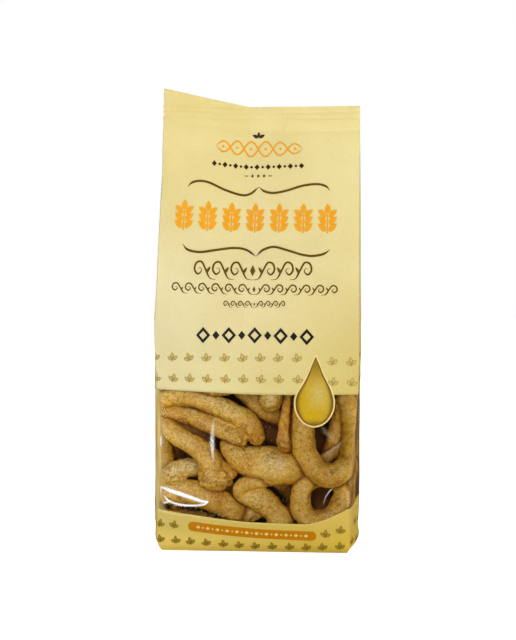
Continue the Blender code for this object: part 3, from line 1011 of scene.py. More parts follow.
def back_strip():
    """The fin seal down the middle of the back, folded over and pressed flat."""
    t = np.concatenate([np.linspace(1.5, 12, 8), np.linspace(14, 229, 120), np.linspace(230, 243, 30)])
    u = np.array([0.0, 0.4, 1.0, 3.0, 5.0, 8.0, 10.5, 12.0, 12.6, 13.0])
    gap = np.array([0.06, 0.28, 0.42, 0.40, 0.34, 0.30, 0.26, 0.22, 0.16, 0.06])
    tt, uu = np.meshgrid(t, u + 1.3, indexing="ij")
    wave = 0.12 * noise3(np.stack([uu / 9, tt / 14, 0 * tt], -1), 9) * smooth(243 - tt, 3, 16)
    top = film("back", uu, tt, 0.0) + bag_normal("back", uu, tt) * (gap + wave)[..., None]
    rim = film("back", uu, tt, -0.02)
    rows, cols = tt.shape
    k = np.arange(rows * cols).reshape(rows, cols)
    m = k + rows * cols
    faces = [list(f)[::-1] for f in grid_faces(rows, cols)] + [list(f) for f in grid_faces(rows, cols, rows * cols)]
    for a, b in ((0, 1), (-1, -1)):
        for i in range(cols - 1):
            faces.append([k[a, i], k[a, i + 1], m[a, i + 1], m[a, i]][::b])
        for i in range(rows - 1):
            faces.append([k[i, a], m[i, a], m[i + 1, a], k[i + 1, a]][::b])
    obj = new_mesh("back_seal", np.vstack([top.reshape(-1, 3), rim.reshape(-1, 3)]), faces, ground_look.material)
    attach(obj, "root")
    return obj


# ---------------------------------------------------------------- the print
PANEL_HALF = {"front": 51.0, "back": 51.0}


def braces(sheet):
    upper = [(-38.2, 196.2), (-36.4, 198.6), (-32.3, 199.9), (-26.5, 199.3), (-17.5, 196.0), (-8.3, 193.7), (-3.0, 194.5), (1.6, 198.3)]
    upper_right = [(1.6, 198.3), (4.6, 195.9), (9.7, 194.9), (17.0, 196.2), (26.0, 199.0), (33.4, 199.8), (38.2, 198.6), (40.5, 196.0)]
    lower = [(-39.0, 165.7), (-36.0, 162.8), (-29.3, 161.7), (-20.0, 163.2), (-11.4, 164.5), (-4.5, 163.8), (1.3, 160.1)]
    lower_right = [(1.3, 160.1), (5.0, 163.6), (10.8, 165.2), (18.0, 163.4), (26.0, 161.0), (31.9, 160.3), (37.6, 161.4), (41.0, 163.8)]
    for line in (upper, upper_right, lower, lower_right):
        sheet.stroke(line, 1.3, taper=4, step=0.6, across=3)


def wheat_row(sheet):
    """Seven bold ears of grain in a row, each grain apart from the next."""
    for n in range(7):
        u = -39.2 + n * 13.1
        foot = 173.2 - 0.10 * n
        sheet.stroke([(u, foot), (u, foot + 10.6)], 0.95, step=1.0)
        for level in (1.4, 5.2, 9.0):
            for side in (-1, 1):
                sheet.leaf(u + side * 1.0, foot + level - 0.6, 6.1, 3.3, side * 42, bend=-0.14 * side, rows=11, across=3)
        sheet.leaf(u, foot + 10.7, 5.6, 3.3, 0, rows=11)


def braid(sheet):
    """Two thin lines that twist round each other."""
    u = np.linspace(-24, 25, 60)
    for sign in (1, -1):
        swing = sign * 4.3 * np.sin((u + 24) / 49 * np.pi * 6)
        sheet.stroke(np.stack([u, 219.7 + swing * (0.55 + 0.45 * np.cos((u - 0.5) / 24.5 * np.pi / 2))], -1), 1.0, taper=4, step=0.6, across=3)
    for n in range(6):
        sheet.disc(-24 + 49 / 12 * (2 * n + 1), 219.7, 0.8)


CURL = ((-0.22, -0.50), (0.14, -0.42), (0.40, 0.02), (0.66, 0.42), (0.96, 0.36), (1.06, 0.02), (0.86, -0.22), (0.65, -0.06), (0.73, 0.12), (0.86, 0.07))


def scroll_row(sheet, u0, u1, t, size, count, line, drop=0.0):
    """A running scroll that starts from a lozenge in the middle and curls outwards on both sides."""
    middle = (u0 + u1) / 2
    pitch = (u1 - middle - size * 0.25) / count
    sheet.lozenge(middle, t, size * 0.30, size * 0.62)
    for side in (-1, 1):
        for n in range(count):
            start = size * 0.20 + n * pitch
            curl = [(middle + side * (start + x * pitch * 0.92), t + y * size - drop * side * (start + x * pitch) / (u1 - middle)) for x, y in CURL]
            sheet.stroke(curl, line, taper=size * 0.7, step=0.45, across=3)
            sheet.leaf(middle + side * (start + 0.30 * pitch), t - 0.18 * size, size * 0.42, size * 0.15, side * -28, bend=0.12 * side)


def sprig(fill, line, u, t, size, panel="front", turn=0.0):
    """Three small leaves on a short stalk."""
    for angle, length in ((0, 1.0), (-58, 0.82), (58, 0.82)):
        fill.leaf(u, t - 0.30 * size, size * 0.72 * length, size * 0.34, angle + turn, panel, rows=7, across=2)
        line.outline(u, t - 0.30 * size, size * 0.72 * length, size * 0.34, angle + turn, size * 0.055, panel)
    line.stroke([(u, t - 0.28 * size), (u - 0.05 * size, t - 0.5 * size)], size * 0.07, panel, 0.10, step=0.6)


def sprig_rows(fill, line):
    for row, (left, right) in enumerate(((106.3, 104.0), (95.0, 93.1))):
        for n in range(12):
            u = -52.9 + n * 9.62 + 0.25 * math.sin(n * 1.7)
            level = left + (right - left) * smooth(u, 20, 52)
            if abs(u - DROP_X) < (3.4 if row == 0 else 8.4):
                continue
            sprig(fill, line, u, float(level), 5.4, turn=(10 if row else -10) + 5 * math.sin(n * 2.3))
    foot = ((-50.9, 6.3), (-25.1, 4.8), (1.7, 3.3), (28.5, 2.9), (50, 3.8))
    upper = ((-51.2, 15.3), (-42, 14.7), (38.7, 10.9), (46.8, 12.9), (50, 14.2))
    for n, u in enumerate((-50.6, -42.0, -33.9, -25.2, -16.1, -7.4, 1.4, 10.4, 19.8, 29.0, 37.6, 46.9)):
        sprig(fill, line, u, float(ramp(foot, u)) + 0.9, 5.2, turn=-10 + 5 * math.sin(n * 1.9))
    for n, u in enumerate((-50.9, -43.2, 38.9, 47.0)):
        sprig(fill, line, u, float(ramp(upper, u)) + 0.6, 5.2, turn=10 + 5 * math.sin(n * 1.9))
    for panel in ("right", "left", "back"):
        span = 45 if panel == "back" else 24
        for n in range(-5, 6):
            for level, shift, turn in ((106.0, 0, -8), (94.8, 0, 8), (17.0, 0, 8), (7.0, 4.8, -8)):
                u = n * 9.6 + shift
                if abs(u) < span and not (panel == "back" and -2 < u < 17):
                    sprig(fill, line, u, level, 5.2, panel, turn)


def pill(sheet, dots):
    line = curve_through(np.array([(-32.5, 14.5), (-17.6, 12.9), (-1.4, 11.5), (14.7, 10.6), (31.6, 10.1)]), 0.9)
    d = np.gradient(line, axis=0)
    n = np.stack([-d[:, 1], d[:, 0]], -1) / np.linalg.norm(d, axis=1, keepdims=True)
    run = np.concatenate([[0], np.cumsum(np.linalg.norm(np.diff(line, axis=0), axis=1))])
    extra = 2.65
    run = run / run[-1] * (run[-1])
    # round ends: extend the line and draw it in to a half circle
    start = line[0] - (d[0] / np.linalg.norm(d[0])) * np.linspace(1, 0.08, 7)[:, None] * extra
    end = line[-1] + (d[-1] / np.linalg.norm(d[-1])) * np.linspace(0.08, 1, 7)[:, None] * extra
    pts = np.vstack([start, line, end])
    normals = np.vstack([np.repeat(n[:1], 7, 0), n, np.repeat(n[-1:], 7, 0)])
    cap = np.sqrt(np.clip(1 - np.linspace(1, 0.08, 7) ** 2, 0.0004, 1))
    w = np.concatenate([cap, np.ones(len(line)), cap[::-1]]) * 2.65
    k = np.linspace(-1, 1, 5)
    sheet.patch(pts[:, None] + normals[:, None] * (w[:, None] * k)[..., None], lift=0.07)
    at = np.linspace(3.0, run[-1] - 3.0, 23)
    for i, a in enumerate(at):
        u, t = (float(np.interp(a, run, line[:, j])) for j in (0, 1))
        if i % 2:
            dots.disc(u, t, 0.5, lift=0.11, sides=8)
        else:
            dots.lozenge(u, t, 2.4, 1.9, lift=0.11)


DROP_TIP, DROP_FOOT, DROP_X, DROP_MIDDLE = 106.6, 69.8, 33.95, 82.5
DROP_SHAPE = (
    (69.8, 0.0), (70.4, 2.7), (72.2, 5.7), (75.4, 8.2), (79.0, 9.7), (82.5, 10.0),
    (86.2, 9.3), (91.5, 6.8), (96.9, 4.0), (102.3, 1.9), (106.6, 0.05),
)


def drop_half(t, grow=0.0):
    """Half width of the drop at a level; grow makes it larger all round, for its rim."""
    low = (DROP_MIDDLE - DROP_FOOT) / (DROP_MIDDLE - DROP_FOOT + grow)
    high = (DROP_TIP - DROP_MIDDLE) / (DROP_TIP - DROP_MIDDLE + 2.2 * grow)
    plain = DROP_MIDDLE + (t - DROP_MIDDLE) * np.where(t < DROP_MIDDLE, low, high)
    return ramp(DROP_SHAPE, plain) * (10 + grow) / 10


def drop_centre(t):
    return DROP_X - 0.6 * smooth(t, 93, 85)


def drop(sheet, rim, edge):
    n, m = 60, 25
    s = 0.5 - 0.5 * np.cos(np.linspace(0, np.pi, n))
    k = np.linspace(-1, 1, m)

    def body(grow, low, high):
        t = low + (high - low) * s
        half = np.maximum(drop_half(t, grow), 0.05)
        return np.stack([drop_centre(t)[:, None] + half[:, None] * k, np.repeat(t[:, None], m, 1)], -1)

    plate = body(0.0, DROP_FOOT, DROP_TIP)
    u, t = plate[..., 0] - drop_centre(plate[..., 1]), plate[..., 1]
    rim_share = np.abs(np.broadcast_to(k, u.shape))
    low_end = smooth(t, DROP_FOOT + 4.2, DROP_FOOT + 0.2)
    shade = np.clip(1.0 * smooth(rim_share, 0.66, 1.0) ** 1.2 + 0.66 * smooth(t, 90, 105) + 0.85 * low_end + 0.08 * smooth(-u, 4, 10), 0, 1)
    glow = np.maximum(0.9 * np.exp(-(((u + 6.2) / 3.4) ** 2) - ((t - 82.0) / 8.5) ** 2), 0.95 * np.exp(-(((u + 1.0) / 7.5) ** 2) - ((t - 75.4) / 4.8) ** 2))
    pale = 0.95 * np.exp(-(((u - 1.8) / 5.4) ** 2) - ((t - 86.5) / 8.0) ** 2)
    sheet.patch(plate, lift=0.16, shade=shade, glow=glow, pale=pale)
    rim.patch(body(0.85, DROP_FOOT - 0.85, DROP_TIP + 0.8), lift=0.04)
    side = np.linspace(0, 1, 3)
    for sign in (-1, 1):
        t = DROP_FOOT + (DROP_TIP - DROP_FOOT) * s
        half = np.maximum(drop_half(t), 0.05)
        inner = np.maximum(half - 0.42, 0.0)
        edge.patch(np.stack([drop_centre(t)[:, None] + sign * (inner[:, None] + (half - inner)[:, None] * side), np.repeat(t[:, None], 3, 1)], -1), lift=0.20)


def back_print(cream, brown, orange):
    """Plain fields and rules where a pack's back carries its texts."""
    for left, right in ((-46.0, -5.0), (18.5, 48.0)):
        rows, cols = 60, 20
        t = np.linspace(118, 205, rows)
        u = np.linspace(left, right, cols)
        uu, tt = np.meshgrid(u, t)
        cream.patch(np.stack([uu, tt], -1), "back", 0.06)
        uu, tt = np.meshgrid(np.linspace(left + 2, right - 2, 16), np.linspace(195.5, 202, 5))
        orange.patch(np.stack([uu, tt], -1), "back", 0.12)
        for n in range(13):
            level = 190.0 - n * 5.4
            end = right - 3 - (0 if n % 4 else 9) - 2.5 * ((n * 7) % 3)
            brown.stroke([(left + 3, level), ((left + end) / 2, level), (end, level)], 0.7, "back", 0.12, step=1.6)
    for u in (-47, 50.2):
        brown.stroke([(u, 114), (u, 209)], 0.8, "back", 0.10, step=2.0)
    orange_line = [(-46, 76), (-20, 76), (-3, 76)]
    orange.stroke(orange_line, 5.0, "back", 0.08, step=1.5, across=4)
    orange.stroke([(18.5, 76), (34, 76), (48, 76)], 5.0, "back", 0.08, step=1.5, across=4)
    for left, right in ((-46.0, -5.0), (18.5, 48.0)):
        uu, tt = np.meshgrid(np.linspace(left, right, 16), np.linspace(34, 68, 24))
        cream.patch(np.stack([uu, tt], -1), "back", 0.06)
        for n in range(5):
            level = 38.5 + n * 6.2
            brown.stroke([(left + 3, level), (right - 3, level)], 0.6, "back", 0.12, step=1.6)


def print_all():
    brown, dark, orange, thin_orange, deep, black = Sheet(), Sheet(), Sheet(), Sheet(), Sheet(), Sheet()
    cream, fill, line, rim, body, edge, back_cream = Sheet(), Sheet(), Sheet(), Sheet(), Sheet(), Sheet(), Sheet()
    braces(brown)
    wheat_row(orange)
    braid(thin_orange)
    for side in (-1, 1):
        dark.leaf(0.5 + side * 0.3, 226.0, 3.6, 1.9, side * 62, bend=-0.12 * side)
    dark.leaf(0.5, 226.2, 3.4, 1.7, 0)
    for n in range(17):
        u = -24.4 + n * 3.07
        level = 210.0 - 0.55 * math.cos(u / 25 * math.pi / 2)
        if n % 2:
            dark.disc(u, level, 0.75, sides=10)
        else:
            dark.lozenge(u, level, 3.0, 3.2)
    for u, w in ((-5.6, 1.0), (7.6, 1.0)):
        brown.stroke([(u - w, 204.4), (u + w, 204.4)], 0.5)
    for u in (-2.2, 1.0, 4.2):
        brown.lozenge(u, 204.4, 1.7, 2.1)
    scroll_row(brown, -32.5, 32.0, 152.4, 10.0, 3, 1.05)
    scroll_row(brown, -44.0, 45.5, 142.4, 5.6, 6, 0.80, 0.5)
    scroll_row(brown, -15.6, 17.6, 134.5, 3.6, 4, 0.60)
    for n in range(9):
        u = -26.2 + n * 6.92
        level = 118.0 - 0.9 * smooth(u, 0, 34)
        if n % 2:
            black.lozenge(u, level, 3.9, 4.8)
        else:
            black.lozenge_ring(u, level, 7.8, 8.8, 1.45)
    sprig_rows(fill, line)
    pill(deep, cream)
    drop(body, rim, edge)
    back_print(back_cream, brown, deep)
    brown.build("print_brown", ink_look("ink_brown", (98, 70, 0)))
    dark.build("print_dark_brown", ink_look("ink_dark_brown", (54, 38, 0)))
    orange.build("print_orange", ink_look("ink_orange", (232, 162, 34)))
    thin_orange.build("print_thin_orange", ink_look("ink_thin_orange", (228, 160, 42)))
    deep.build("print_deep_orange", ink_look("ink_deep_orange", (188, 122, 0)))
    black.build("print_black", ink_look("ink_black", (22, 18, 14)))
    cream.build("print_cream", ink_look("ink_cream", (230, 204, 124)))
    fill.build("print_leaves", ink_look("ink_leaves", (196, 176, 106), (160, 136, 48), 45))
    line.build("print_leaf_lines", ink_look("ink_leaf_lines", (158, 130, 52), (124, 98, 14), 45))
    rim.build("print_drop_rim", ink_look("ink_drop_rim", (234, 210, 144)))
    edge.build("print_drop_edge", ink_look("ink_drop_edge", (108, 80, 6)))
    back_cream.build("print_back_fields", ink_look("ink_back_fields", (244, 236, 196)))
    body.build("print_drop", drop_look())


# ---------------------------------------------------------------- biscuits
FILM_GAP = 0.55


def keep_inside(p, gap=FILM_GAP):
    """Moves points that lie outside the film back to it, so that a biscuit is flat where it rests on the film."""
    p = p.copy()
    t = np.clip(p[:, 2], 0.5, 200)
    depth = ramp(HALF_DEPTH, t)
    for sign, panel in ((1, "right"), (-1, "left")):
        q = np.clip(p[:, 1] / depth, -1, 1)
        limit = bag_point(panel, q * depth, t)[:, 0] * sign - gap
        p[:, 0] = np.where(p[:, 0] * sign > limit, limit * sign, p[:, 0])
    wide = half_width(np.sign(p[:, 0]), t) - 0.3
    u = np.clip(p[:, 0], -wide, wide)
    p[:, 1] = np.clip(p[:, 1], bag_point("front", u, t)[:, 1] + gap, bag_point("back", u, t)[:, 1] - gap)
    p[:, 2] = np.maximum(p[:, 2], 1.2)
    return p


def depth_in_bag(p, behind_front=0.0):
    """Share of painted shade on a biscuit: 0 near the clear film, 1 deep among the other biscuits, where little light
    comes.
    """
    t = np.clip(p[:, 2], 1, 190)
    depth = ramp(HALF_DEPTH, t)
    away = p[:, 1] - bag_point("front", np.clip(p[:, 0], -51, 51), t)[:, 1] + behind_front
    for sign, panel in ((1, "right"), (-1, "left")):
        q = np.clip(p[:, 1] / depth, -1, 1)
        away = np.minimum(away, 1.3 * (bag_point(panel, q * depth, t)[:, 0] * sign - p[:, 0] * sign) + 2.0)
    return smooth(away, 8.0, 23.0)


def turned_away(p, n):
    """0 where a biscuit's face looks out of the bag and up, 1 where it looks back in; this drives painted shade, a
    warmer, less blue crust on faces that look in.
    """
    t = np.clip(p[:, 2], 1, 190)
    depth = ramp(HALF_DEPTH, t)
    front = p[:, 1] - bag_point("front", np.clip(p[:, 0], -51, 51), t)[:, 1]
    share = np.exp(-np.clip(front, 0, 60) / 9)
    out = np.stack([0 * share, -share - 0.05, 0 * share], -1)
    for sign, panel in ((1, "right"), (-1, "left")):
        q = np.clip(p[:, 1] / depth, -1, 1)
        side = bag_point(panel, q * depth, t)[:, 0] * sign - p[:, 0] * sign
        out[:, 0] += sign * np.exp(-np.clip(side, 0, 60) / 5)
    out[:, 2] += 0.22 * np.linalg.norm(out, axis=1)
    out /= np.linalg.norm(out, axis=1)[:, None]
    return 1 - np.clip((n * out).sum(1), 0, 1)


def gap_to(p, spheres):
    """Distance from points to the nearest of a row of spheres."""
    best = np.full(len(p), 1e9)
    for some in np.array_split(spheres, max(1, len(spheres) // 50)):
        best = np.minimum(best, (np.linalg.norm(p[:, None] - some[None, :, :3], axis=2) - some[:, 3]).min(1))
    return best


def tube(centre, radius, closed, sides=18):
    """Rope mesh round a centre line, with round ends if it isn't closed."""
    c, r = np.asarray(centre, float), np.asarray(radius, float)
    if not closed:
        a, b = c[0] - c[1], c[-1] - c[-2]
        a, b = a / np.linalg.norm(a), b / np.linalg.norm(b)
        bend = np.radians((78, 55, 30))
        c = np.vstack([[c[0] + a * r[0] * math.sin(k) for k in bend], c, [c[-1] + b * r[-1] * math.sin(k) for k in bend[::-1]]])
        r = np.concatenate([r[0] * np.cos(bend), r, r[-1] * np.cos(bend[::-1])])
    n = len(c)
    d = (np.roll(c, -1, 0) - np.roll(c, 1, 0)) if closed else np.gradient(c, axis=0)
    d /= np.linalg.norm(d, axis=1, keepdims=True)
    side = np.cross(d[0], (0, 0, 1.0))
    if np.linalg.norm(side) < 0.2:
        side = np.cross(d[0], (1.0, 0, 0))
    sides_of = []
    for k in range(n):
        side = side - d[k] * (side @ d[k])
        side /= np.linalg.norm(side)
        sides_of.append(side)
    s = np.array(sides_of)
    o = np.cross(d, s)
    a = np.linspace(0, 2 * np.pi, sides, endpoint=False)
    p = c[:, None] + r[:, None, None] * (s[:, None] * np.cos(a)[:, None] + o[:, None] * np.sin(a)[:, None])
    k = np.arange(n * sides).reshape(n, sides)
    nxt = np.roll(k, -1, 1)
    faces = np.stack([k[:-1], nxt[:-1], nxt[1:], k[1:]], -1).reshape(-1, 4).tolist()
    if closed:  # the last ring meets the first at the nearest turn
        gap = [np.linalg.norm(p[-1] - np.roll(p[0], -m, 0), axis=1).sum() for m in range(sides)]
        first = np.roll(k[0], -int(np.argmin(gap)))
        faces += [[int(x) for x in (k[-1, i], k[-1, (i + 1) % sides], first[(i + 1) % sides], first[i])] for i in range(sides)]
    else:
        faces += [k[0][::-1].tolist(), k[-1].tolist()]
    return p.reshape(-1, 3), faces


def ball(centre, radius):
    a = np.linspace(0, np.pi, 7)[1:-1]
    b = np.linspace(0, 2 * np.pi, 10, endpoint=False)
    ring = np.stack([np.sin(a)[:, None] * np.cos(b), np.sin(a)[:, None] * np.sin(b), np.repeat(np.cos(a)[:, None], 10, 1)], -1)
    p = np.vstack([[(0, 0, 1.0)], ring.reshape(-1, 3), [(0, 0, -1.0)]]) * radius + centre
    k = np.arange(50).reshape(5, 10) + 1
    nxt = np.roll(k, -1, 1)
    faces = np.stack([k[:-1], k[1:], nxt[1:], nxt[:-1]], -1).reshape(-1, 4).tolist()
    faces += [[0, int(k[0, i]), int(nxt[0, i])] for i in range(10)]
    faces += [[51, int(nxt[-1, i]), int(k[-1, i])] for i in range(10)]
    return p, faces


def joined(parts):
    points, faces, count = [], [], 0
    for p, f in parts:
        points.append(p)
        faces += [[i + count for i in face] for face in f]
        count += len(p)
    return np.vstack(points), faces


def remeshed(points, faces, voxel):
    """One closed skin round overlapping closed parts."""
    mesh = bpy.data.meshes.new("work")
    mesh.from_pydata((points * MM).tolist(), [], faces)
    obj = bpy.data.objects.new("work", mesh)
    bpy.context.scene.collection.objects.link(obj)
    mod = obj.modifiers.new("skin", "REMESH")
    mod.mode = "VOXEL"
    mod.voxel_size = voxel * MM
    done = bpy.data.meshes.new_from_object(obj.evaluated_get(bpy.context.evaluated_depsgraph_get()))
    p = np.zeros(len(done.vertices) * 3)
    done.vertices.foreach_get("co", p)
    n = np.zeros(len(done.vertices) * 3)
    done.vertices.foreach_get("normal", n)
    quads = [list(f.vertices) for f in done.polygons]
    bpy.data.objects.remove(obj)
    bpy.data.meshes.remove(mesh)
    bpy.data.meshes.remove(done)
    return p.reshape(-1, 3) / MM, n.reshape(-1, 3), quads


class Biscuits:
    """Skins of several biscuits gathered into one piece."""

    def __init__(self):
        self.points, self.faces, self.values, self.count = [], [], {"bake": [], "flour": [], "crack_and_shade": [], "deep": [], "facing_shade": []}, 0

    def add(self, parts, voxel, seed, bake=0.3, flour=0.0, knots=(), spots=(), behind_front=0.0, others=None):
        p, n, quads = remeshed(*joined(parts), voxel)
        at = p + seed * 31.7
        lumps = 0.70 * noise3(at / 8.5, seed) + 0.42 * noise3(at / 3.4, seed + 1) + 0.22 * noise3(at / 1.6, seed + 2)
        rough = np.zeros(len(p))
        for centre, reach in knots:
            rough = np.maximum(rough, np.exp(-((np.linalg.norm(p - centre, axis=1) / reach) ** 2)))
        groove = np.zeros(len(p))
        torn = rough > 0.05
        if torn.any():  # the torn, lumpy dough of a knot: rounded lumps with clefts between them
            bent = at[torn] / 4.4 + 0.45 * np.stack([noise3(at[torn] / 2.6, seed + k) for k in (3, 14, 15)], -1)
            near, other = cells3(bent, seed)
            lumps[torn] += rough[torn] * (1.2 * (0.62 - near) + 0.45 * noise3(at[torn] / 1.9, seed + 4))
            groove[torn] = smooth(rough[torn], 0.12, 0.5) * np.exp(-(((other - near) / 0.09) ** 2)) * smooth(noise3(at[torn] / 3.7, seed + 16), -0.35, 0.15)
        vein = np.abs(noise3(at / 6.5, seed + 5) + 0.35 * noise3(at / 2.2, seed + 6))
        mask = smooth(noise3(at / 11, seed + 7) + 0.5 * rough, 0.10, 0.42)
        crack_and_shade = np.maximum(np.exp(-((vein / 0.05) ** 2)) * mask, 0.9 * groove)
        pits = smooth(noise3(at / 1.25, seed + 8), 0.42, 0.72) * smooth(noise3(at / 14, seed + 9), -0.15, 0.3)
        dents = smooth(noise3(at / 2.3, seed + 12), 0.45, 0.8) * smooth(noise3(at / 12, seed + 13), 0.0, 0.4)
        p = p + n * (lumps - 0.62 * crack_and_shade - 0.34 * pits - 0.55 * dents)[:, None]
        p = keep_inside(p)
        tone = np.clip(bake + 0.26 * noise3(at / 12, seed + 10) + 0.10 * rough, 0, 1)
        pale = np.clip(flour + 0.25 * smooth(noise3(at / 9, seed + 11), 0.15, 0.6), 0, 1)
        if len(spots):
            where = seen_at(p)
            for px, py, reach, kind, amount in spots:
                w = amount * np.exp(-(((where[:, 0] - px) ** 2 + (where[:, 1] - py) ** 2) / reach**2))
                if kind == "bake":
                    tone = np.clip(tone + w, 0, 1)
                # A shade spot is painted shade: it adds to the crack share, so the crust darkens towards the crack
                # colour.
                elif kind == "shade":
                    crack_and_shade = np.clip(crack_and_shade + w, 0, 1.1)
                else:
                    pale = np.clip(pale + w, 0, 1)
        self.points.append(p)
        self.faces += [[i + self.count for i in f] for f in quads]
        self.count += len(p)
        deep = depth_in_bag(p, behind_front)
        # Painted shade: the crevices between biscuits are darkened in colour.
        if others is not None:  # crevices between biscuits are dark
            deep = np.maximum(deep, 0.46 * (1 - smooth(gap_to(p, others), -0.5, 2.1)))
        self.values["deep"].append(deep)
        self.values["facing_shade"].append(turned_away(p, n))
        self.values["bake"].append(tone)
        self.values["flour"].append(pale * 0.9)
        self.values["crack_and_shade"].append(np.clip(0.9 * crack_and_shade + 0.5 * pits + 0.3 * dents, 0, 1))

    def build(self, name, material):
        obj = new_mesh(name, np.vstack(self.points), self.faces, material, {k: np.concatenate(v) for k, v in self.values.items()})
        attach(obj, "root")
        return obj


def seen_rope(places, closed):
    """Rope from places in the frame: (px, py, radius in px, gap to the film in mm)."""
    rows = []
    for px, py, r, gap in places:
        near = bag_point("front", *film_at(px, py))
        size = r * np.linalg.norm(near - EYE) / PIXELS
        rows.append([*behind(px, py, size + gap), size])
    smooth_rows = curve_through(np.array(rows), 1.6, closed)
    if closed:
        smooth_rows = smooth_rows[:-1]
    return smooth_rows[:, :3], np.maximum(smooth_rows[:, 3], 1.5)


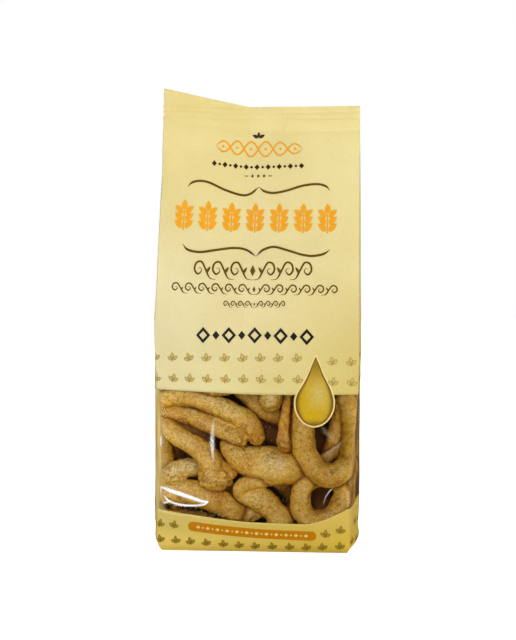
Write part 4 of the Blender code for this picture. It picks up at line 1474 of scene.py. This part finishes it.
# Each seen biscuit: name, centre lines in the frame (closed or open), knots, how brown, how floury, and local spots.
SEEN = [
    dict(name="long_upper", piece=0, bake=0.26, ropes=[(False, [
        (256, 436, 9.6, 1.2), (251.5, 427, 10.4, 0.8), (242, 418.0, 10.8, 0.5), (226, 409.8, 10.8, 0.4), (207, 402.0, 10.0, 0.4),
        (188, 396.8, 9.4, 0.5), (171, 397.0, 9.8, 0.5), (160.5, 402.5, 9.6, 1.6), (162.5, 410.5, 9.0, 4.6), (177, 413.6, 9.0, 5.6),
        (191, 416.2, 9.3, 6.2), (204, 421.4, 9.3, 4.6), (217, 427.4, 9.3, 3.0), (229, 433.6, 9.2, 1.6), (237, 438, 9.4, 0.7)])],
        # Its bake spots at (182, 416) and (204, 425) are painted shade under the upper limb.
        knots=[(238, 439, 10.8, 11, 12)], spots=[(212, 403, 30, "flour", 0.32), (256, 437, 7, "bake", 0.6), (182, 416, 12, "bake", 0.55), (204, 425, 12, "bake", 0.45), (250, 418, 12, "bake", 0.15)]),
    dict(name="left_knot", piece=0, bake=0.24, ropes=[(False, [
        (215, 480, 14.2, 0.8), (213.5, 470, 13.8, 0.5), (210, 460, 12.6, 0.5), (203, 452, 11.4, 0.5), (194, 445.6, 10.4, 0.5),
        (184, 439.4, 10.4, 0.5), (175, 433.0, 10.4, 0.6), (167.2, 426.0, 10.0, 1.8), (162, 424.5, 9.0, 5.5), (161, 434, 9.2, 7.0), (164, 450, 9.6, 8.0), (167, 465, 9.6, 9.0),
        (172, 478, 8.6, 12), (186, 487, 9, 14), (203, 489, 9.4, 13), (217, 484, 10.5, 7), (222, 474, 11.5, 3.0)])],
        knots=[(211, 477, 15.0, 17, 26), (226, 475, 12.5, 13, 18)], spots=[(207, 476, 9, "flour", 0.2), (228, 465, 8, "bake", 0.4), (186, 440, 24, "flour", 0.38)]),
    dict(name="gap_back", piece=0, bake=0.34, ropes=[(True, [
        (171, 423, 7.6, 15), (183, 426, 8.4, 15), (195, 430, 8.6, 15.6), (205, 436, 8.4, 18), (211, 446, 8.2, 23), (204, 454, 8.2, 29),
        (190, 446, 8.2, 31), (176, 436, 8.0, 29), (168, 428, 7.8, 22)])],
        knots=[], spots=[]),
    dict(name="foot_left", piece=0, bake=0.28, ropes=[(True, [
        (163, 492, 11.0, 0.6), (178, 492.0, 13.0, 0.4), (196, 494.0, 13.4, 0.4), (212, 498.5, 13.0, 0.5), (225, 505, 11.8, 0.8),
        (236, 512.5, 10.6, 1.6), (243, 512, 9.4, 9), (238, 498, 9.2, 15), (226, 485, 9.2, 17), (213, 473, 9.2, 15), (198, 468.0, 9.6, 10.0),
        (183, 468.5, 9.8, 5.8), (170, 474, 9.2, 4.8), (161, 483, 9.2, 4.0)])],
        knots=[], spots=[(182, 464, 18, "flour", 1.6), (196, 486, 16, "flour", 0.06), (225, 505, 16, "bake", 0.25)]),
    dict(name="middle_lobe", piece=1, bake=0.22, ropes=[(True, [
        (229, 448, 9.0, 1.2), (237, 455.5, 12.2, 0.6), (248, 461, 15.6, 0.4), (262, 464, 18.2, 0.3), (276, 467.0, 19.4, 0.2),
        (288, 469.5, 17.0, 0.8), (296, 472, 12.5, 4.5), (300, 473, 9.5, 11), (292, 466, 9.5, 19), (270, 458, 9.5, 22), (246, 448, 9.5, 18), (231, 444, 8.6, 9)])],
        knots=[], spots=[(275, 463, 10, "flour", 1.3), (250, 452, 18, "flour", 0.14), (240, 470, 10, "bake", 0.2)]),
    dict(name="foot_crescent", piece=1, bake=0.12, ropes=[(True, [
        (274, 477, 7.0, 7.5), (265, 479.5, 7.4, 4.2), (255, 481.5, 7.8, 2.0), (246, 484.5, 8.0, 1.0), (239.5, 489, 7.8, 1.2), (242, 494, 8.4, 3.0), (250.5, 496.5, 10.4, 2.4),
        (261, 500, 11.8, 1.0), (270.5, 507, 12.2, 0.5), (277.5, 515, 12.2, 0.5), (282, 525, 12, 0.8), (289, 534, 10.6, 4), (298, 533, 10, 10), (303, 520, 10, 17), (298, 502, 10, 20), (286, 486, 10, 16)])],
        knots=[], spots=[(250, 481, 12, "bake", 0.1), (240, 492, 7, "bake", 0.2), (258, 497, 16, "flour", 0.25)]),
    dict(name="top_pale_end", piece=1, bake=0.35, ropes=[(True, [
        (270.5, 398.5, 12.4, 0.3), (272, 386, 12.4, 0.5), (274, 370, 12, 3), (276, 357, 11, 8), (277, 352, 11, 18), (276, 362, 11, 26),
        (274, 380, 11, 25), (273, 394, 11, 18), (272, 400, 11, 8)])],
        knots=[], spots=[(266, 401, 13, "flour", 1.0), (283, 402, 6, "bake", 0.4)]),
    dict(name="top_back_limb", piece=1, bake=0.38, ropes=[(True, [
        (225, 375, 10, 12), (238, 385, 10, 10), (249, 396, 10, 9.5), (260, 405.5, 10, 9.5), (270, 413, 10, 11), (281, 416, 9.6, 15), (290, 406, 9.6, 22),
        (284, 388, 9.6, 28), (262, 372, 9.6, 29), (240, 366, 9.6, 22)])],
        knots=[], spots=[(270, 415, 8, "bake", 0.3)]),
    dict(name="top_sliver", piece=0, bake=0.26, ropes=[(True, [
        (200, 384, 10, 2.0), (213, 387, 10.2, 0.7), (226, 385.5, 10, 1.2), (238, 377, 10, 6), (236, 362, 10, 12), (216, 355, 10, 16), (198, 360, 10, 14), (190, 373, 10, 6)])],
        knots=[], spots=[(216, 394, 8, "flour", 0.3)]),
    dict(name="thin_limb", piece=1, bake=0.80, ropes=[(True, [
        (289, 389, 5.0, 9), (286.8, 400, 4.6, 7), (285.6, 411, 4.8, 5.0), (284.4, 422, 5.3, 3.8), (283.6, 433, 6.0, 2.8), (284.0, 443.5, 6.6, 2.2), (287.5, 447, 6.0, 8),
        (292.5, 438, 6.4, 12), (293.5, 422, 6.6, 13), (294.5, 404, 6.6, 15), (294, 388, 6.4, 14)])],
        knots=[(284.5, 445, 7.0, 8, 6)], spots=[(284, 440, 9, "flour", 0.3)]),
    dict(name="big_right", piece=2, bake=0.33, ropes=[(True, [
        (305, 398, 11, 3), (304.5, 411, 11.4, 1.4), (303.6, 425, 11.8, 0.6), (303.4, 439, 12.0, 0.5), (306, 453.5, 12.2, 0.5), (312.5, 466.5, 12.4, 0.5), (323, 474.5, 12.6, 0.5),
        (335, 474.5, 12.6, 0.5), (345, 467, 12.0, 0.7), (350.5, 455, 11.0, 1.2), (352, 440, 10.4, 1.6), (351.5, 425, 10.2, 1.8), (349.5, 411, 10, 2.2), (345, 397, 10, 3.5),
        (337, 384, 10, 7), (322, 379, 10.5, 9), (310, 386, 11, 6)])],
        knots=[], spots=[(352, 430, 14, "bake", 0.15), (310, 462, 12, "bake", 0.12), (345, 400, 12, "bake", 0.25)]),
    dict(name="right_edge_upper", piece=2, bake=0.42, ropes=[(True, [
        (351, 384, 9, 14), (353.5, 396, 9, 7.5), (355.5, 408, 9.2, 5.5), (356, 422, 9.4, 5.0), (355.5, 436, 9.2, 6.5), (354, 449, 9, 12), (353.5, 453, 9, 22),
        (354, 440, 9, 33), (354, 420, 9, 38), (353, 400, 9, 34), (351, 386, 9, 24)])],
        knots=[], spots=[(356, 402, 9, "bake", 0.3)]),
    dict(name="foot_right", piece=2, bake=0.24, ropes=[(True, [
        (303, 486, 10.4, 2.4), (300.6, 499, 10.8, 0.9), (302, 512, 11.0, 0.6), (310, 519.5, 11.2, 0.6), (321, 520.5, 11.0, 0.6), (332.5, 515, 10.6, 0.7), (339.5, 505, 10.2, 1.2),
        (343, 493.5, 9.6, 2.6), (340, 482, 9.6, 8), (327, 477, 10, 13), (312, 479, 10, 8.5)])],
        knots=[], spots=[(318, 514, 12, "bake", 0.1)]),
    dict(name="right_back", piece=2, bake=0.50, ropes=[(True, [
        (340, 386, 8.6, 7), (341, 397, 8.8, 5.4), (340.5, 409, 9.0, 6.6), (337.5, 423, 9.0, 8.4), (334, 438, 8.8, 10.5), (328, 453, 8.6, 16), (317, 462, 8.4, 28),
        (306, 448, 8.4, 36), (308, 425, 8.4, 38), (318, 402, 8.4, 34), (330, 386, 8.4, 20)])],
        knots=[], spots=[(340, 404, 12, "bake", 0.1)]),
    dict(name="right_strand", piece=2, bake=0.62, ropes=[(False, [
        (312, 474, 6.6, 12), (321, 463, 6.4, 11), (330, 455, 6.2, 10), (339, 447, 6.2, 10), (347, 437, 6.4, 12), (353, 424, 7, 15)])],
        knots=[], spots=[(334, 450, 22, "shade", 0.75)]),
    dict(name="foot_sliver", piece=0, bake=0.45, ropes=[(True, [
        (232, 521, 7.8, 5), (243, 517, 8.2, 4.2), (254, 512.5, 8.2, 4.6), (263, 506, 8.2, 8), (268, 498, 8.2, 15), (262, 496, 8.4, 23), (246, 506, 8.4, 26), (230, 518, 8.4, 24), (222, 527, 8, 14)])],
        knots=[], spots=[]),
    dict(name="foot_dark", piece=0, bake=0.72, ropes=[(True, [
        (160, 518, 8.6, 5), (174, 517, 8.6, 8), (190, 518, 8.6, 9), (206, 521, 8.6, 8), (220, 526, 8.6, 9), (222, 528, 8.6, 20), (204, 524, 8.6, 27), (180, 520, 8.6, 27), (163, 518, 8.6, 18)])],
        knots=[], spots=[]),
    dict(name="right_edge", piece=2, bake=0.50, ropes=[(True, [
        (351, 462, 8.6, 13), (353, 478, 9.0, 5.0), (352.5, 491, 9.4, 3.6), (351, 505, 9.4, 5), (346, 518, 9.2, 10), (341, 520, 9.2, 20), (342, 505, 9.2, 31), (345, 485, 9.2, 34), (349, 466, 9, 26)])],
        knots=[], spots=[(353, 488, 12, "bake", 0.15)]),
]

VOXEL = 0.62


def seen_biscuits(material):
    """The biscuits that the window shows; returns spheres along them for the packing of the hidden ones."""
    pieces = [Biscuits(), Biscuits(), Biscuits()]
    ropes = [[(*seen_rope(places, closed), closed) for closed, places in item["ropes"]] for item in SEEN]
    rows = [np.vstack([np.column_stack([centre, radius])[::2] for centre, radius, _ in rope]) for rope in ropes]
    for n, item in enumerate(SEEN):
        parts, knots = [], []
        for centre, radius, closed in ropes[n]:
            wobble = 1 + 0.075 * noise3(centre / 9 + n * 5, n) + 0.04 * noise3(centre / 4 + n, n + 40)
            parts.append(tube(centre, radius * wobble, closed))
        for px, py, r, reach, lumps in item["knots"]:
            near = bag_point("front", *film_at(px, py))
            size = r * np.linalg.norm(near - EYE) / PIXELS
            centre = behind(px, py, size + 0.6)
            knots.append((centre, reach / 1.9))
            pick = np.random.default_rng(100 + n)
            for _ in range(lumps):
                way = pick.normal(size=3)
                way[1] -= 0.8
                way /= np.linalg.norm(way)
                parts.append(ball(centre + way * size * pick.uniform(0.58, 0.84), size * pick.uniform(0.26, 0.44)))
        others = np.vstack([row for k, row in enumerate(rows) if k != n])
        pieces[item["piece"]].add(parts, VOXEL, n + 1, item["bake"], 0.0, knots, item["spots"], others=others)
    pieces[0].build("biscuits_window_left", material)
    pieces[1].build("biscuits_window_middle", material)
    pieces[2].build("biscuits_window_right", material)
    return np.vstack([row[::2] for row in rows])


def ring_template(pick):
    """Centre line and radius of one loose ring, with its pinched ends overlapping."""
    a, b = pick.uniform(17.5, 21.5), pick.uniform(12.5, 16.0)
    lap = pick.uniform(0.25, 0.5)
    k = np.linspace(-lap / 2, 2 * np.pi + lap / 2, 40)
    lift = 2.2 * np.sin(k * pick.integers(1, 3) + pick.uniform(0, 6)) + 3.4 * (k / np.pi - 1) * np.exp(-(((np.abs(k - np.pi) - np.pi) / 0.5) ** 2))
    c = np.stack([a * np.cos(k), b * np.sin(k) * (1 + 0.12 * np.cos(k)), lift], -1)
    r = pick.uniform(5.2, 6.1) * (1 + 0.12 * np.sin(k * 2 + pick.uniform(0, 6)))
    r[:3] *= (0.72, 0.86, 0.95)
    r[-3:] *= (0.95, 0.86, 0.72)
    return c, r


def room(p, r):
    """How far spheres of radius r stick out of the bag, as a push back inwards."""
    t = np.clip(p[:, 2], 2, 190)
    depth = ramp(HALF_DEPTH, t)
    push = np.zeros_like(p)
    for sign, panel in ((1, "right"), (-1, "left")):
        q = np.clip(p[:, 1] / depth, -1, 1)
        limit = bag_point(panel, q * depth, t)[:, 0] * sign - r - 0.9
        over = np.maximum(p[:, 0] * sign - limit, 0)
        push[:, 0] -= sign * over
    front = bag_point("front", np.clip(p[:, 0], -50, 50), t)[:, 1] + r + 0.9
    back = bag_point("back", np.clip(p[:, 0], -50, 50), t)[:, 1] - r - 0.9
    push[:, 1] += np.maximum(front - p[:, 1], 0) - np.maximum(p[:, 1] - back, 0)
    push[:, 2] += np.maximum(r + 1.4 - p[:, 2], 0)
    return push


# Rings that lie flat against the side windows: side, y, z.
BESIDE = ((1, 14, 31), (1, 12, 60), (1, 16, 88), (-1, 13, 33), (-1, 15, 61), (-1, 10, 89), (1, -4, 46), (-1, -3, 47))


def packed_rings(fixed, count, seed):
    """Loose rings pushed apart until they hardly touch each other, the seen ones and the film."""
    pick = np.random.default_rng(seed)
    shapes = [ring_template(pick) for _ in range(count)]
    beads = [(c[::3], r[::3]) for c, r in shapes]
    size = np.array([len(c) for c, _ in beads])
    owner = np.repeat(np.arange(count), size)
    radius = np.concatenate([r for _, r in beads])
    place = np.stack([pick.uniform(-34, 34, count), pick.uniform(-12, 22, count), np.linspace(12, 128, count) + pick.uniform(-5, 5, count)], -1)
    turn = []
    for _ in range(count):
        q = pick.normal(size=4)
        turn.append(quaternion_matrix(q / np.linalg.norm(q)))
    upright = np.array([(0, 0, 1.0), (0, 1.0, 0), (-1.0, 0, 0)])
    outwards = np.zeros(count)
    for n, (side, y, z) in enumerate(BESIDE):
        place[n] = side * 41, y, z
        turn[n] = upright @ axis_matrix((0, 0, 1.0), n * 1.3) @ axis_matrix((1.0, 0, 0), 0.25 * math.sin(n * 2.7))
        outwards[n] = side * 0.09
    turn = np.array(turn)
    local = np.concatenate([c for c, _ in beads])
    for step in range(260):
        p = np.einsum("nij,nj->ni", turn[owner], local) + place[owner]
        push = room(p, radius) * 1.0
        d = p[:, None] - p[None]
        dist = np.linalg.norm(d, axis=2)
        near = np.maximum(radius[:, None] + radius[None] - dist, 0) * (owner[:, None] != owner[None])
        push += (d / np.maximum(dist, 1e-6)[..., None] * near[..., None]).sum(1) * 0.45
        d = p[:, None] - fixed[None, :, :3]
        dist = np.linalg.norm(d, axis=2)
        near = np.maximum(radius[:, None] + fixed[None, :, 3] + 0.3 - dist, 0)
        push += (d / np.maximum(dist, 1e-6)[..., None] * near[..., None]).sum(1) * 0.6
        push[:, 2] -= 0.05 if step < 180 else 0.0
        push[:, 0] += outwards[owner] if step < 200 else 0.0
        total = np.zeros((count, 3))
        np.add.at(total, owner, push)
        place += np.clip(total / size[:, None] * 1.6, -3, 3)
        arm = p - place[owner]
        twist = np.zeros((count, 3))
        np.add.at(twist, owner, np.cross(arm, push))
        inertia = np.zeros(count)
        np.add.at(inertia, owner, (arm**2).sum(1))
        angle = np.clip(twist / inertia[:, None] * 1.4, -0.12, 0.12)
        for n in range(count):
            size_of = np.linalg.norm(angle[n])
            if size_of > 1e-6:
                turn[n] = axis_matrix(angle[n] / size_of, size_of) @ turn[n]
    return [(c @ turn[n].T + place[n], r) for n, (c, r) in enumerate(shapes)]


def quaternion_matrix(q):
    w, x, y, z = q
    return np.array([
        [1 - 2 * (y * y + z * z), 2 * (x * y - z * w), 2 * (x * z + y * w)],
        [2 * (x * y + z * w), 1 - 2 * (x * x + z * z), 2 * (y * z - x * w)],
        [2 * (x * z - y * w), 2 * (y * z + x * w), 1 - 2 * (x * x + y * y)],
    ])


def axis_matrix(axis, angle):
    x, y, z = axis
    k = np.array([[0, -z, y], [z, 0, -x], [-y, x, 0]])
    return np.eye(3) + math.sin(angle) * k + (1 - math.cos(angle)) * (k @ k)


def hidden_biscuits(material, fixed):
    heaps = {"left": Biscuits(), "right": Biscuits()}
    for n, (centre, radius) in enumerate(packed_rings(fixed, 33, 5)):
        wobble = 1 + 0.06 * noise3(centre / 9 + n * 5, n + 70)
        parts = [tube(centre[1:-1], (radius * wobble)[1:-1], False, 14)]
        ends = [(centre[0], 6.0)]
        beside = np.abs(centre[:, 0]).max() > 36 and centre[:, 2].min() < 86
        heap = heaps["left" if centre[:, 0].mean() < 0 else "right"]
        # The hidden rings get more painted shade by behind_front, and a painted shade spot in the hole of the big right
        # ring.
        heap.add(parts, 1.12 if beside else 1.6, n + 60, 0.36 + 0.16 * math.sin(n * 2.1), 0.0, ends, [(272, 430, 15, "shade", 1.0)], behind_front=5.0)
    for side, heap in heaps.items():
        heap.build("biscuits_behind_" + side, material)


def crumbs(material):
    """Small chips and flour specks that cling inside the window and lie in its lower corner."""
    pick = np.random.default_rng(21)
    points, faces, count = [], [], 0
    spots = []
    for _ in range(210):
        spots.append((pick.uniform(158, 350), pick.uniform(404, 520), pick.uniform(0.10, 0.30)))
    for _ in range(190):
        spots.append((pick.uniform(158, 232), pick.uniform(500, 519), pick.uniform(0.14, 0.52)))
    for _ in range(80):
        spots.append((pick.uniform(262, 300), pick.uniform(486, 522), pick.uniform(0.10, 0.30)))
    for _ in range(70):
        spots.append((pick.uniform(240, 292), pick.uniform(400, 446), pick.uniform(0.10, 0.30)))
    for px, py, size in spots:
        u, t = film_at(px, py)
        if not 14 < t < 86:
            continue
        p = film("front", np.array([u]), np.array([t]), -0.42 - size)[0]
        shape = np.array([(1, 0, 0), (-1, 0, 0), (0, 1, 0), (0, -1, 0), (0, 0, 1), (0, 0, -1)], float)
        shape = shape * pick.uniform(0.55, 1.25, (6, 1)) * size
        points.append(p + shape @ quaternion_matrix(unit(pick.normal(size=4))).T)
        a = count
        faces += [[a + i, a + j, a + k] for i, j, k in ((0, 2, 4), (2, 1, 4), (1, 3, 4), (3, 0, 4), (2, 0, 5), (1, 2, 5), (3, 1, 5), (0, 3, 5))]
        count += 6
    n = count
    values = {"bake": np.repeat(pick.uniform(0, 0.5, n // 6), 6), "flour": np.repeat(pick.uniform(0, 1, n // 6), 6), "crack_and_shade": np.zeros(n), "deep": np.zeros(n), "facing_shade": np.zeros(n)}
    obj = new_mesh("crumbs", np.vstack(points), faces, material, values)
    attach(obj, "root")
    return obj


def unit(v):
    return v / np.linalg.norm(v)


# ---------------------------------------------------------------- stage
def stage():
    mesh = bpy.data.meshes.new("floor")
    size, z = 4.0, -0.0002
    mesh.from_pydata([(-size, -size, z), (size, -size, z), (size, size, z), (-size, size, z)], [], [(0, 1, 2, 3)])
    mesh.materials.append(floor_look())
    floor = bpy.data.objects.new("floor", mesh)
    bpy.context.scene.collection.objects.link(floor)

    def softbox(name, place, aim, width, height, power, colour=(1, 1, 1)):
        light = bpy.data.lights.new(name, "AREA")
        light.shape = "RECTANGLE"
        light.size, light.size_y = width, height
        light.energy = power
        light.color = colour
        obj = bpy.data.objects.new(name, light)
        obj.location = place
        obj.rotation_mode = "QUATERNION"
        obj.rotation_quaternion = (Vector(aim) - Vector(place)).to_track_quat("-Z", "Y")
        bpy.context.scene.collection.objects.link(obj)
        return obj

    softbox("key", (-0.40, -1.30, 0.78), (0, 0, 0.11), 0.45, 0.45, 8.0)
    glint = softbox("glint", (-0.80, -1.35, 0.55), (0, 0, 0.08), 0.95, 0.62, 35)
    low = softbox("low_strip", (-0.32, -0.25, 0.035), (-0.02, -0.03, 0.055), 0.05, 0.06, 0.16)
    side = softbox("side_glint", (0.95, -1.20, 0.50), (0.03, 0, 0.07), 0.50, 0.40, 8)
    for lamp in (glint, low, side):
        lamp.visible_diffuse = False
        lamp.visible_camera = False
    for name, place, width, height, power in (
        ("front", (0.10, -1.80, 0.24), 0.8, 0.6, 9.7),
        ("fill", (1.50, -0.45, 0.20), 0.9, 0.5, 10.9),
        ("top", (0.0, -0.2, 1.5), 1.4, 1.2, 1.1),
    ):
        colour = (1.0, 0.955, 0.85) if name == "fill" else (1, 1, 1)
        softbox(name, place, (0, 0, 0.11), width, height, power, colour).visible_glossy = False

    world = bpy.data.worlds.new("studio")
    bpy.context.scene.world = world
    world.use_nodes = True
    tree = world.node_tree
    tree.nodes.clear()
    out = tree.nodes.new("ShaderNodeOutputWorld")
    seen = tree.nodes.new("ShaderNodeBackground")
    seen.inputs["Color"].default_value = (1, 1, 1, 1)
    room_light = tree.nodes.new("ShaderNodeBackground")
    split = tree.nodes.new("ShaderNodeSeparateXYZ")
    tree.links.new(tree.nodes.new("ShaderNodeTexCoord").outputs["Generated"], split.inputs[0])

    def sum_up(a, scale, offset):
        n = tree.nodes.new("ShaderNodeMath")
        n.operation = "MULTIPLY_ADD"
        tree.links.new(a, n.inputs[0])
        n.inputs[1].default_value = scale
        if isinstance(offset, float):
            n.inputs[2].default_value = offset
        else:
            tree.links.new(offset, n.inputs[2])
        return n.outputs[0]

    def above_zero(a):
        n = tree.nodes.new("ShaderNodeMath")
        n.operation = "MAXIMUM"
        tree.links.new(a, n.inputs[0])
        n.inputs[1].default_value = 0.0
        return n.outputs[0]

    # dim in front of the bag, brighter to the left, above and behind
    level = sum_up(above_zero(split.outputs["Y"]), 1.02, 0.143)
    left, right = above_zero(sum_up(split.outputs["X"], -2.0, -1.1)), above_zero(sum_up(split.outputs["X"], 2.0, -1.1))
    level = sum_up(left, 0.55, sum_up(right, 0.35, level))
    level = sum_up(above_zero(split.outputs["Z"]), 0.24, level)
    tree.links.new(level, room_light.inputs["Strength"])
    tint = tree.nodes.new("ShaderNodeMix")
    tint.data_type = "RGBA"
    both_sides = tree.nodes.new("ShaderNodeMath")
    both_sides.use_clamp = True
    tree.links.new(left, both_sides.inputs[0])
    tree.links.new(right, both_sides.inputs[1])
    tree.links.new(both_sides.outputs[0], tint.inputs[0])
    tint.inputs[6].default_value = (1.0, 1.0, 1.0, 1)
    tint.inputs[7].default_value = (1.0, 0.84, 0.50, 1)
    tree.links.new(tint.outputs[2], room_light.inputs["Color"])
    path = tree.nodes.new("ShaderNodeLightPath")
    mirrored = tree.nodes.new("ShaderNodeBackground")
    warm = tree.nodes.new("ShaderNodeMix")
    warm.data_type = "RGBA"
    warm.clamp_factor = True
    tree.links.new(above_zero(sum_up(split.outputs["Y"], 3.0, -0.1)), warm.inputs[0])
    warm.inputs[6].default_value = (0.060, 0.045, 0.020, 1)
    warm.inputs[7].default_value = (0.42, 0.29, 0.085, 1)
    tree.links.new(warm.outputs[2], mirrored.inputs["Color"])
    soft = tree.nodes.new("ShaderNodeMixShader")
    tree.links.new(path.outputs["Is Glossy Ray"], soft.inputs[0])
    tree.links.new(room_light.outputs[0], soft.inputs[1])
    tree.links.new(mirrored.outputs[0], soft.inputs[2])
    mix = tree.nodes.new("ShaderNodeMixShader")
    tree.links.new(path.outputs["Is Camera Ray"], mix.inputs[0])
    tree.links.new(soft.outputs[0], mix.inputs[1])
    tree.links.new(seen.outputs[0], mix.inputs[2])
    tree.links.new(mix.outputs[0], out.inputs["Surface"])

    data = bpy.data.cameras.new("camera")
    data.lens, data.sensor_width = 80.66, 36
    data.clip_start, data.clip_end = 0.01, 20
    camera = bpy.data.objects.new("camera", data)
    camera.location = EYE * MM
    camera.rotation_mode = "QUATERNION"
    camera.rotation_quaternion = Vector(AHEAD).to_track_quat("-Z", "Y")
    bpy.context.scene.collection.objects.link(camera)
    bpy.context.scene.camera = camera
    view = bpy.context.scene.view_settings
    view.view_transform = "Standard"
    view.look = "None"
    view.exposure = 0.0


# ---------------------------------------------------------------- all of it
stage()
bag = printed_film()
ground_look.material = bag.data.materials[0]
clear_film()
seal_edge()
back_strip()
print_all()
biscuit = biscuit_look()
taken = seen_biscuits(biscuit)
hidden_biscuits(biscuit, taken)
crumbs(biscuit)
